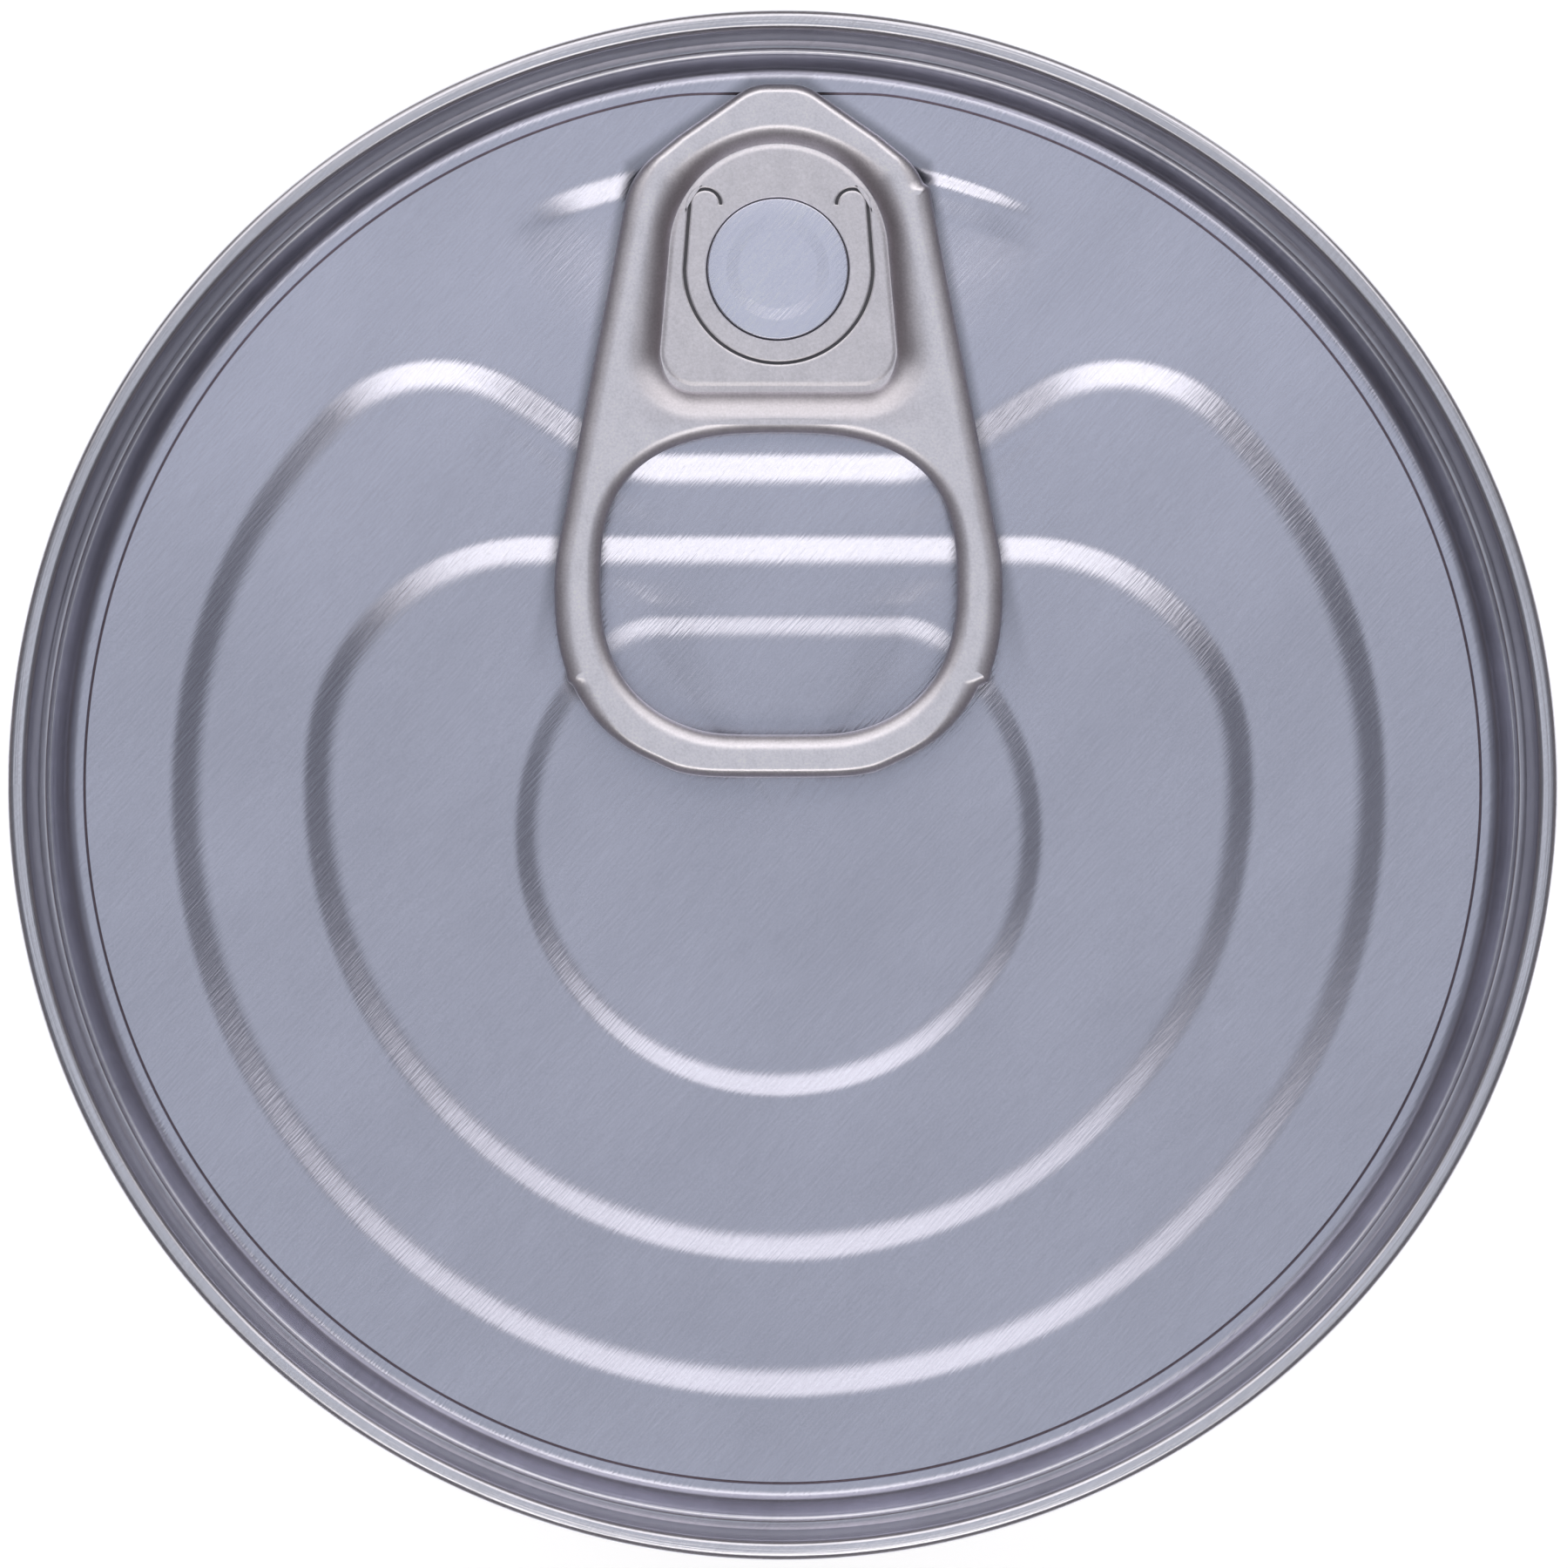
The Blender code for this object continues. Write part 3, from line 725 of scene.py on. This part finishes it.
def ringToward(outline):
    # where rays from the panel's centre meet the outline, one for each ring point
    slack = 1e-9
    turn = np.linspace(0, math.tau, lid["count"], endpoint=False)[:, None]
    cos, sin = np.cos(turn), np.sin(turn)
    start = outline - (0, lid["centreY"])
    step = np.roll(start, -1, axis=0) - start
    cross = cos * step[:, 1] - sin * step[:, 0]
    cross[np.abs(cross) < nearZero] = nearZero
    share = (sin * start[:, 0] - cos * start[:, 1]) / cross
    reach = (start[:, 0] * step[:, 1] - start[:, 1] * step[:, 0]) / cross
    reach[(share < -slack) | (share > 1 + slack)] = 0
    far = reach.max(axis=1)[:, None]
    return np.hstack((far * cos, far * sin + lid["centreY"]))


def rampShare(t, softStart=0.25, softEnd=0.25):
    # how far down a ramp is at t of its width: rounded at both edges, straight between
    t = min(max(t, 0.0), 1.0)
    slope = 1 / (1 - (softStart + softEnd) / 2)
    if t < softStart:
        return slope * t * t / (2 * softStart)
    if t > 1 - softEnd:
        return 1 - slope * (1 - t) ** 2 / (2 * softEnd)
    return slope * (t - softStart / 2)


def rampRings(outline, shape, topZ, above=None):
    # above is the lowest ring of the ramp outside this one, from which the flat falls
    ring = ringToward(outline)
    normals = normalsOf(ring)
    shift = (can["toolShift"], 0)
    start, end = lid["rampSoft"]
    middle = (start / 2 + 1 - end / 2) / 2  # where the ramp is half way down
    past = 0.1  # share of the width by which the rings reach out onto the flats
    opening = [start * i / 4 for i in range(5)]
    closing = [1 - end * (5 - i) / 5 for i in range(6)]
    if above is not None:
        gap = np.hypot(*(above[:, :2] - ring - shift).T) - shape["ramp"] * middle
        topZ = above[:, 2] - lid["fall"] * gap
    rings = []
    drop = shape["drop"] * (1 - shape.get("lean", 0) * normals[:, 1])
    for t in (-past, *opening, (start + 1 - end) / 2, *closing, 1 + past):
        flat = ring + normals * (middle - t) * shape["ramp"] + shift
        z = topZ - drop * rampShare(t, start, end)
        rings.append(atHeight(flat, z))
    return rings


def between(first, last, shares):
    return [first + (last - first) * share for share in shares]


def scoreRing(offset, z):
    # a ring at the score line or a little off it, flattened under the tab's nose
    shape = lid["score"]
    turn = np.linspace(0, math.tau, lid["count"], endpoint=False)
    sharp = 14.0
    flat = shape["flatY"] / np.maximum(np.sin(turn), 0.5)  # far away except in the north
    near = np.minimum(shape["radius"], flat)
    far = np.maximum(shape["radius"], flat)
    radius = near - np.log1p(np.exp(-sharp * (far - near))) / sharp + offset
    return atHeight(np.column_stack((radius * np.cos(turn), radius * np.sin(turn))), z)


def crescentDrop(x, y):
    # the shallow crescent beside the tab's nose, with a doubled edge on its right
    shape = lid["crescent"]
    radius = math.hypot(x - can["toolShift"], y)
    swing = abs(math.atan2(x - can["toolShift"], y))
    fade = float(1 - smoothStep(*shape["ends"], swing))
    low, high = shape["radius"]
    if fade == 0 or not low < radius < high:
        return 0.0
    walls = shape["rightWall"] if x > 0 else shape["leftWall"]
    wall = sum(share * rampShare((edge - radius) / width) for share, edge, width in walls)
    rise = float(smoothStep(*shape["rise"], radius))
    return shape["depth"] * wall * rise * fade


def makeLid():
    z = can["height"] - rim["panelDepth"]
    outer = rampRings(outerStepOutline(), lid["outer"], z)
    middle = rampRings(cutCircleOutline(lid["middle"]), lid["middle"], z, outer[-1])
    inner = rampRings(cutCircleOutline(lid["inner"]), lid["inner"], z, middle[-1])
    centre = (can["toolShift"], lid["centreY"], float(inner[-1][:, 2].mean()))
    rings = between(inner[-1], np.array(centre), (0.96, 0.85, 0.65, 0.4, 0.15))
    for step, beyond in ((inner, middle), (middle, outer)):
        rings += step[::-1]
        rings += between(step[0], beyond[-1], lid["flatShares"])
    rings += outer[::-1]
    score = lid["score"]
    far, near = [scoreRing(offset, z) for offset in score["margins"]]
    rings += [*marginRings(outer[0], far, z), near]
    rings += [scoreRing(off * score["width"], z - drop * score["depth"]) for off, drop in score["profile"]]
    rings += turnedRings([(r, can["height"] - d) for r, d in rimPath()], lid["count"])
    floorZ = can["height"] - rim["plugDepth"]
    plug = [(rim["plugRadius"], can["height"] - rim["plugStart"]), (rim["plugRadius"], floorZ)]
    rings += turnedRings(plug, lid["count"])
    for ring in rings:
        wave(ring)
    points, faces = loft(rings, centre, (0, 0, floorZ))
    return makePiece("lid_panel", points, faces, lidMetal)


def marginRings(start, end, z):
    # from the outer step to the score line, closest together where the crescent lies
    keys = [18, 20, 22, 24, 26, 27.2, *np.arange(27.9, 31.9, 0.16), 32.4, 33.2, 33.9]
    innerGap, outerGap = 0.04, 0.02  # least distance between two rings
    blendWidth = 8
    middle = (can["toolShift"], 0)
    near, far = [np.hypot(*(ring[:, :2] - middle).T) for ring in (start, end)]
    nearWay = (start[:, :2] - middle) / near[:, None]
    farWay = (end[:, :2] - middle) / far[:, None]
    rings = []
    for i, key in enumerate(keys):
        radius = np.maximum(key, near + innerGap * (i + 1))
        radius = np.minimum(radius, far - outerGap * (len(keys) - i))
        blend = smoothStep(near, near + blendWidth, radius)[:, None]
        way = nearWay * (1 - blend) + farWay * blend
        way /= np.hypot(*way.T)[:, None]
        rings.append(atHeight(way * radius[:, None] + middle, z))
    return rings


def wave(ring):
    # presses the crescent in and leaves the panel as slightly uneven as real sheet
    shape = lid["wave"]
    for point in ring:
        x, y = point[0], point[1]
        radius = math.hypot(x, y)
        if radius > shape["end"]:
            continue
        point[2] -= crescentDrop(x, y)
        swell = noise.noise(Vector((x / shape["length"], y / shape["length"], shape["level"])))
        point[2] += shape["depth"] * swell * float(1 - smoothStep(*shape["radius"], radius))


lidPiece = makeLid()
print("lid is pressed:", len(lidPiece.data.polygons), "faces")


# rivet: a flat button with a faint dish, drawn up through the tab's pad

rivet = {
    "x": -0.24,
    "y": 25.5,
    "radius": 3.47,
    "top": 107.8,
    "thick": 0.6,
    "edge": 0.06,
    "fall": 0.01,  # from the dish to the edge
    "dish": 0.05,
    "dishRadius": 2.45,
    "stemRadius": 2.3,
    "foot": 107.0,
}


def makeRivet():
    x, y, top, radius = rivet["x"], rivet["y"], rivet["top"], rivet["radius"]
    dishZ = top - rivet["dish"]
    corners = [  # radius, height and rounding
        (0.02, dishZ, 0),
        (rivet["dishRadius"] - 0.5, dishZ, 0.9),
        (rivet["dishRadius"] + 0.1, top, 0.5),
        (radius, top - rivet["fall"], rivet["edge"]),
        (radius, top - rivet["thick"], 0.05),
        (rivet["stemRadius"], top - rivet["thick"], 0.05),
        (rivet["stemRadius"], rivet["foot"], 0),
    ]
    rings = turnedRings(filletPath(corners, 12), 128, x, y)
    points, faces = loft(rings, (x, y, dishZ), (x, y, rivet["foot"]))
    return makePiece("rivet_head", points, faces, lidMetal)


rivetPiece = makeRivet()


# pull tab: rolled edges all round, a finger hole and a sunk pad for the rivet

tab = {
    "count": 720,  # points in each ring
    "bottom": 107.1,
    "top": 108.2,
    "noseY": 34.62,
    "noseHalfWidth": 1.3,
    "noseRound": 2.6,
    "shoulder": (7.17, 30.54),
    "shoulderRound": 3.8,
    "sideSlope": math.radians(11),
    "sideRound": 10.0,
    "halfWidth": 11.0,
    "endY": 0.44,
    "endPower": 2.5,
    "endCut": 0.32,  # the lower end is flat where it would reach this much further
    "endShift": -0.12,  # the lower end is curled slightly to the left
    "roll": (0.46, 0.95),  # how far in the outer roll reaches, at the ends and at the sides
    "turn": (0.55, 0.97),  # how far the edge faces sideways where the roll widens
    "under": 0.8,  # reach of the roll's lower half, as a share of its upper half
}

notch = {  # where the side rolls start and end; each zone is (from, to) above its height
    "high": 29.58,
    "low": 5.05,
    "step": 0.17,
    "sunk": 0.55,  # share of the step by which the nose and the lower end stand back
    "highRight": (-0.12, 0.25),
    "highLeft": (-1.2, 1.8),
    "lowZone": (-0.25, 0.12),
    "tooth": 0.08,
    "lowTooth": (0.2, 0.25, 1),  # height above the notch, width and share of the tooth
    "highTooth": (-0.2, 0.3, 0.6),
    "fromX": 5,  # nearer the middle there is none
}

hole = {
    "count": 480,
    "y": 9.97,
    "halfWidth": 8.8,
    "halfHeight": 7.42,
    "cut": 0.26,
    "upperPower": 2.75,
    "lowerPower": 2.5,
    "roll": (0.72, 0.80, 0.88),  # values in threes are for the north, the sides and the south
    "turn": (0.3, 0.95),
    "under": 0.6,
}

pad = {
    "count": 480,
    "archY": 26.3,
    "archRadius": 5.25,
    "footHalfWidth": 5.85,
    "footY": 19.84,
    "footRound": 1.6,
    "top": 107.58,
    "edge": 0.06,  # drop of its rounded edge
    "edgeGrow": (-0.22, -0.16, -0.1, -0.04, 0.02, 0.07, 0.11, 0.14),
    "edgeDrop": (0, 0, 0.06, 0.22, 0.5, 0.8, 0.95, 1),
    "turn": (0.25, 0.97),
    "wall": (1.0, 2.1, 1.6),  # width of the wall round it
    "wallPower": (1.0, 1.35, 1.45),
    "trough": (0.16, 0.16, 0.40),  # its width
    "rollGap": 0.18,  # flat metal left between the wall and the outer roll
    "moat": ((3.62, 0), (3.57, 0), (3.54, 0.02)),  # radius and drop of the rivet's hole
}

slit = {
    "radius": 4.65,
    "legTop": 28.68,
    "legX": 4.40,
    "hook": 0.77,
    "width": 0.15,
    "depth": 0.42,
    "bevel": 0.06,
    "bevelDrop": 0.03,
    "margin": 0.06,  # flat metal kept round the bevel
}


def tabOutline():
    sideX = tab["halfWidth"] - tab["sideRound"]
    shoulderX, shoulderY = tab["shoulder"]
    slope = tab["sideSlope"]
    bendX = sideX + tab["sideRound"] * math.cos(slope)
    bendY = shoulderY - (bendX - shoulderX) / math.tan(slope)
    widestY = bendY - tab["sideRound"] * math.sin(slope)
    reach = widestY - tab["endY"] + tab["endCut"]
    end = powerArc(tab["halfWidth"], reach, tab["endPower"], -math.pi / 2, 0, 160)
    noseSlope = math.atan2(tab["noseY"] - shoulderY, shoulderX - tab["noseHalfWidth"])
    noseNormal = math.pi / 2 - noseSlope
    noseCorner = (tab["noseHalfWidth"], tab["noseY"])
    rightSide = [
        np.abs(end) * (1, -1) + (0, widestY),
        arc(sideX, widestY, tab["sideRound"], 0, slope, 12)[1:],
        roundedCorner(tab["shoulder"], tab["shoulderRound"], slope, noseNormal, 24),
        roundedCorner(noseCorner, tab["noseRound"], noseNormal, math.pi / 2, 12),
        [(0, tab["noseY"])],
    ]
    return flattened(mirrored(np.vstack(rightSide)), tab["endY"])


def notched(ring):
    # the side rolls stand a little prouder than the nose and the lower end
    x, y = ring.T
    aboveHigh, aboveLow = y - notch["high"], y - notch["low"]
    right, left = [1 - smoothStep(*notch[name], aboveHigh) for name in ("highRight", "highLeft")]
    high = np.where(x > 0, right, left)
    low = smoothStep(*notch["lowZone"], aboveLow)
    tooth = 0
    for name, above, there in (("lowTooth", aboveLow, 1), ("highTooth", aboveHigh, x > 0)):
        place, width, share = notch[name]
        tooth = tooth + share * np.exp(-(((above - place) / width) ** 2)) * there
    side = np.clip(np.abs(x) - notch["fromX"], 0, 1)
    push = notch["step"] * (high * low - notch["sunk"]) + notch["tooth"] * tooth
    shift = np.column_stack(((1 - low) * tab["endShift"], np.zeros(len(ring))))
    return ring + normalsOf(ring) * (push * side)[:, None] + shift


def holeOutline():
    reach = hole["halfHeight"] + hole["cut"]
    lower = powerArc(hole["halfWidth"], reach, hole["lowerPower"], -math.pi / 2, 0, 120)
    upper = powerArc(hole["halfWidth"], hole["halfHeight"], hole["upperPower"], 0, math.pi / 2, 120)
    rightSide = np.vstack((lower, upper[1:]))
    rightSide[:, 0] = np.abs(rightSide[:, 0])
    return flattened(mirrored(rightSide), -hole["halfHeight"]) + (0, hole["y"])


def padOutline():
    footX, footY = pad["footHalfWidth"], pad["footY"]
    lean = math.atan2(footX - pad["archRadius"], pad["archY"] - footY)
    rightSide = [
        [(0, footY)],
        roundedCorner((footX, footY), pad["footRound"], -math.pi / 2, lean, 24),
        arc(0, pad["archY"], pad["archRadius"], lean, math.pi / 2, 60),
    ]
    return mirrored(np.vstack(rightSide))


def slitOutline(grow):
    # a C-shaped cut round the rivet, hooked in at both ends
    hookX = slit["legX"] - slit["hook"]
    hook = arc(hookX, slit["legTop"], slit["hook"], math.pi, 0, 24)
    bowl = arc(0, rivet["y"], slit["radius"], 0, -math.pi / 2, 40)
    right = np.vstack((hook, bowl))
    line = np.vstack((right, right[-2::-1] * (-1, 1)))
    along = np.gradient(line, axis=0)
    along /= np.hypot(*along.T)[:, None]
    side = np.column_stack((along[:, 1], -along[:, 0]))
    line[0] -= along[0] * grow
    line[-1] += along[-1] * grow
    half = slit["width"] / 2 + grow
    return np.vstack((line + side * half, (line - side * half)[::-1]))


def rollRings(ring, way, reach, lowReach):
    # a half-round edge from the tab's underside to its top, rolled over along each point's way
    rise = (tab["top"] - tab["bottom"]) / 2
    rings = []
    for degrees in [*np.linspace(-90, 0, 8), *np.linspace(6, 90, 15)]:
        turn = math.radians(degrees)
        across = reach if degrees > 0 else lowReach
        flat = ring + way * np.reshape(across * (1 - math.cos(turn)), (-1, 1))
        z = tab["bottom"] + rise * (1 + math.sin(turn))
        rings.append(atHeight(flat, z))
    return rings


def outerRollRings():
    # wide and round along the sides, tight at the nose and the lower end
    ring = notched(evenly(tabOutline(), tab["count"]))
    normals = normalsOf(ring)
    tight, wide = tab["roll"]
    reach = tight + (wide - tight) * smoothStep(*tab["turn"], np.abs(normals[:, 0]))
    return rollRings(ring, -normals, reach, tight * tab["under"])


def holeRollRings():
    ring = evenly(holeOutline(), hole["count"])
    normals = normalsOf(ring)
    reach = byDirection(normals, hole["roll"], hole["turn"])
    return rollRings(ring, normals, reach, hole["roll"][0] * hole["under"])


def byDirection(normals, values, turn):
    # blends a value for the north, the sides and the south by where each normal points
    north, sides, south = values
    blend = sides + (north - sides) * smoothStep(*turn, normals[:, 1])
    return blend + (south - sides) * smoothStep(*turn, -normals[:, 1])


def channelRings(roll):
    # from the pad over its rounded edge and a narrow trough, up the wall to the crest
    sample = evenly(padOutline(), pad["count"])
    normals = normalsOf(sample)
    names = ("trough", "wall", "wallPower")
    start, width, power = [byDirection(normals, pad[name], pad["turn"]) for name in names]
    room = np.array([np.hypot(*(roll - p).T).min() for p in sample]) - pad["rollGap"]
    end = np.minimum(start + width, room)
    low = pad["top"] - pad["edge"]
    rings = []
    for grow, drop in zip(pad["edgeGrow"], pad["edgeDrop"]):
        rings.append(atHeight(sample + normals * grow, pad["top"] - pad["edge"] * drop))
    past = 1.03  # the last ring lies on the crest, just past the wall
    for t in [*(1 - np.cos(np.radians(np.linspace(0, 90, 16)))), past]:
        share = (1 - (1 - min(t, 1)) ** 2) ** (1 / power)
        grow = start + (end - start) * t
        rings.append(atHeight(sample + normals * grow[:, None], low + (tab["top"] - low) * share))
    return rings


def insideOf(points, outline):
    # which points lie inside a closed outline
    x, y = points[:, 0][:, None], points[:, 1][:, None]
    x0, y0 = outline.T
    x1, y1 = np.roll(outline, -1, axis=0).T
    crosses = (y0 > y) != (y1 > y)
    slope = (x1 - x0) / np.where(y1 == y0, nearZero, y1 - y0)
    return ((crosses & (x < x0 + (y - y0) * slope)).sum(axis=1) % 2).astype(bool)


def insideRegion(points, loops):
    # which points lie inside the first loop and outside the others
    keep = insideOf(points, loops[0])
    for loop in loops[1:]:
        keep &= ~insideOf(points, loop)
    return keep


def fillFlat(rings, z, spacing):
    # triangles at one height between the first ring and the rings inside it
    offGrid = (spacing * 0.37, spacing * 0.21)  # keeps the rows off the rings' straight sides
    loops = [ring[:, :2] for ring in rings]
    points, edges = [], []
    for loop in loops:
        first = len(points)
        points += [tuple(p) for p in loop]
        edges += [(first + i, first + (i + 1) % len(loop)) for i in range(len(loop))]
    low, high = loops[0].min(axis=0), loops[0].max(axis=0)
    columns, rows = [np.arange(low[i], high[i], spacing) for i in (0, 1)]
    grid = np.stack(np.meshgrid(columns, rows), -1).reshape(-1, 2) + offGrid
    grid[:, 0] += (np.round((grid[:, 1] - low[1]) / spacing) % 2) * spacing / 2
    grid = grid[insideRegion(grid, loops)]
    rims = np.vstack(loops)
    near = np.array([np.hypot(*(rims - p).T).min() for p in grid])
    points += [tuple(p) for p in grid[near > spacing / 2]]
    found = delaunay_2d_cdt([Vector(p) for p in points], edges, [], 0, closeBy)
    places = np.array([tuple(v) for v in found[0]])
    faces = [f for f in found[2] if len(f) == 3]
    keep = insideRegion(places[np.array(faces)].mean(axis=1), loops)
    return [(x, y, z) for x, y in places], [f for f, good in zip(faces, keep) if good]


def joined(parts):
    # one list of points and one of faces from several of each
    points, faces = [], []
    for morePoints, moreFaces in parts:
        faces += [tuple(len(points) + i for i in face) for face in moreFaces]
        points += morePoints
    return points, faces


def makeTab():
    fineGrid, wideGrid = 0.4, 1.0
    outer = outerRollRings()
    inner = holeRollRings()
    channel = channelRings(outer[-1][:, :2])
    top = pad["top"]
    floorZ = top - slit["depth"]
    support = slit["bevel"] + slit["margin"]
    levels = ((support, top), (slit["bevel"], top), (0, top - slit["bevelDrop"]), (0, floorZ))
    cut = [atHeight(slitOutline(grow), z) for grow, z in levels]
    moatProfile = [(radius, top - drop) for radius, drop in pad["moat"]]
    moatProfile.append((moatProfile[-1][0], floorZ))
    moat = turnedRings(moatProfile, 160, rivet["x"] - can["toolShift"], rivet["y"])
    points, faces = joined([
        loft(outer),
        loft(inner),
        loft(channel),
        fillFlat([outer[-1], inner[-1], channel[-1]], tab["top"], fineGrid),
        fillFlat([outer[0], inner[0]], tab["bottom"], wideGrid),
        loft(cut),
        loft(moat),
        fillFlat([channel[0], cut[0], moat[0]], top, fineGrid),
        fillFlat([cut[-1]], floorZ, wideGrid),
        fillFlat([moat[-1]], floorZ, wideGrid),
    ])
    points = np.array(points) + (can["toolShift"], 0, 0)
    return makePiece("pull_ring", points, faces, tabMetal, 50)


tabPiece = makeTab()
print("pull tab is rolled:", len(tabPiece.data.polygons), "faces")


# body wall: beads rolled in three clusters, made by a node tree

wall = {
    "Radius": can["bodyRadius"],
    "Lowest": 2.72,
    "Highest": 107.28,
    "Bead Depth": 0.45,
    "Bead Width": 2.6,
    "Bead Pitch": 4.2,
    "Beads": 3,
    "Cluster Pitch": 22.0,
    "Clusters": 3,
    "Middle": 55.0,
    "Weld Rise": 0.06,
    "Rows": 260,
    "Columns": 320,
}


def crowded(turns):
    # moves places round the wall towards the side weld, at both ends of the grid's width
    crowding = 0.8 / math.tau
    return turns - (turns * math.tau).maths("SINE") * crowding


def nearestOf(place, count):
    # the nearest in a row of whole places that is centred on zero
    most = (count - 1) / 2
    return place.maths("ROUND").maths("MAXIMUM", -most).maths("MINIMUM", most)


def makeWallTree(material):
    tree = bpy.data.node_groups.new("beadedWall", "GeometryNodeTree")
    face = tree.interface
    face.new_socket("Geometry", in_out="INPUT", socket_type="NodeSocketGeometry")
    face.new_socket("Geometry", in_out="OUTPUT", socket_type="NodeSocketGeometry")
    for name, value in wall.items():
        kind = "NodeSocketInt" if isinstance(value, int) else "NodeSocketFloat"
        face.new_socket(name, in_out="INPUT", socket_type=kind).default_value = value
    bench = Bench(tree)
    entry = tree.nodes.new("NodeGroupInput")
    size = {name: Wire(bench, entry.outputs[name]) for name in wall}
    counts = {"Vertices X": size["Columns"], "Vertices Y": size["Rows"]}
    grid = bench.node("GeometryNodeMeshGrid", {}, {"Size X": 1.0, "Size Y": 1.0, **counts})
    across, up, _ = [axis + 0.5 for axis in bench.axes(bench.node("GeometryNodeInputPosition", {}, {}))]
    angle = crowded(across) * math.tau + math.pi / 2
    height = size["Lowest"] + up * (size["Highest"] - size["Lowest"])
    cluster = (height - size["Middle"]) / size["Cluster Pitch"]
    local = (cluster - nearestOf(cluster, size["Clusters"])) * size["Cluster Pitch"] / size["Bead Pitch"]
    off = (local - nearestOf(local, size["Beads"])) * size["Bead Pitch"] / size["Bead Width"]
    off = off.maths("ABSOLUTE").maths("MINIMUM", 0.5)
    dent = ((off * math.tau).maths("COSINE") * 0.5 + 0.5) * size["Bead Depth"]
    weldEdge = (0.7, 0.4)
    weldAway = crowded(across.maths("MINIMUM", 1 - across)) * math.tau * can["bodyRadius"]
    weld = bench.fade(weldAway, *weldEdge) * size["Weld Rise"]
    radius = size["Radius"] - dent + weld
    x, y = [radius * angle.maths(operation) for operation in ("COSINE", "SINE")]
    spot = bench.node("ShaderNodeCombineXYZ", {}, {0: x * mm, 1: y * mm, 2: height * mm})
    shell = bench.node("GeometryNodeSetPosition", {}, {"Geometry": grid, "Position": spot})
    joined = bench.node("GeometryNodeMergeByDistance", {}, {"Geometry": shell, "Distance": 1e-6})
    real = bench.node("GeometryNodeRealizeInstances", {}, {"Geometry": joined})
    painted = bench.node("GeometryNodeSetMaterial", {}, {"Geometry": real, "Material": material})
    leave = tree.nodes.new("NodeGroupOutput")
    tree.links.new(painted.socket, leave.inputs[0])
    return tree


def makeWall():
    tree = makeWallTree(wallTin)
    carrier = addObject("wallCarrier", bpy.data.meshes.new("wallCarrier"))
    modifier = carrier.modifiers.new("beads", "NODES")
    modifier.node_group = tree
    for item in tree.interface.items_tree:
        if item.in_out == "INPUT" and item.name in wall:
            modifier[item.identifier] = wall[item.name]
    graph = bpy.context.evaluated_depsgraph_get()
    mesh = bpy.data.meshes.new_from_object(carrier.evaluated_get(graph))
    bpy.data.objects.remove(carrier)
    closeTube(mesh)
    return dressMesh("can_wall", mesh, wallTin, 40)


def closeTube(mesh):
    # each end turns in and drops to a floor under the lid's plug, hidden by the seams
    innerRadius, floorReach = 36.45, 49.4
    solid = bmesh.new()
    solid.from_mesh(mesh)
    for sign in (-1, 1):
        rims = [e for e in solid.edges if e.is_boundary]
        edges = [e for e in rims if (e.verts[0].co.z / mm - wall["Middle"]) * sign > 0]
        for z in (None, wall["Middle"] + sign * floorReach):
            grown = bmesh.ops.extrude_edge_only(solid, edges=edges)["geom"]
            edges = [item for item in grown if isinstance(item, bmesh.types.BMEdge)]
            for vert in {v for e in edges for v in e.verts}:
                share = innerRadius * mm / math.hypot(vert.co.x, vert.co.y)
                vert.co.x *= share
                vert.co.y *= share
                if z is not None:
                    vert.co.z = z * mm
        bmesh.ops.contextual_create(solid, geom=edges)
    solid.to_mesh(mesh)
    solid.free()


wallPiece = makeWall()
print("body wall is beaded:", len(wallPiece.data.polygons), "faces")


# bottom end: the same rim turned over, round a panel with expansion rings

bottom = {
    "count": 320,
    "rings": ((29.2, 0.5), (22.5, 0.5), (15.0, -0.4)),  # radius and rise of each ramp
    "ramp": 1.5,
    "rampSteps": (-0.12, 0, 0.08, 0.16, 0.25, 0.5, 0.75, 0.84, 0.92, 1, 1.12),
    "flat": (10.0, 4.0),  # radii of the rings inside the last ramp
}


def makeBottom():
    height = rim["panelDepth"]
    profile = [(rim["plugRadius"], rim["plugDepth"]), (rim["plugRadius"], rim["plugStart"]), *rimPath()[::-1]]
    for radius, rise in bottom["rings"]:
        for t in bottom["rampSteps"]:
            profile.append((radius + (0.5 - t) * bottom["ramp"], height + rise * rampShare(t)))
        height += rise
    profile += [(radius, height) for radius in bottom["flat"]]
    rings = turnedRings(profile, bottom["count"])
    points, faces = loft(rings, (0, 0, rim["plugDepth"]), (0, 0, height))
    return makePiece("bottom_panel", points, faces, endTin)


bottomPiece = makeBottom()
print("bottom end is turned:", len(bottomPiece.data.polygons), "faces")

for piece, slot, node in (
    (lidPiece, "lid_metal", "lid"),
    (rivetPiece, "lid_metal", None),
    (tabPiece, "tab_metal", "pull_tab"),
    (wallPiece, "body_tinplate", "can_body"),
    (bottomPiece, "bottom_tinplate", "bottom_end"),
):
    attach(piece, "root")
    if node:
        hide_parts(node)

bpy.context.view_layer.update()
print("all pieces are in place")
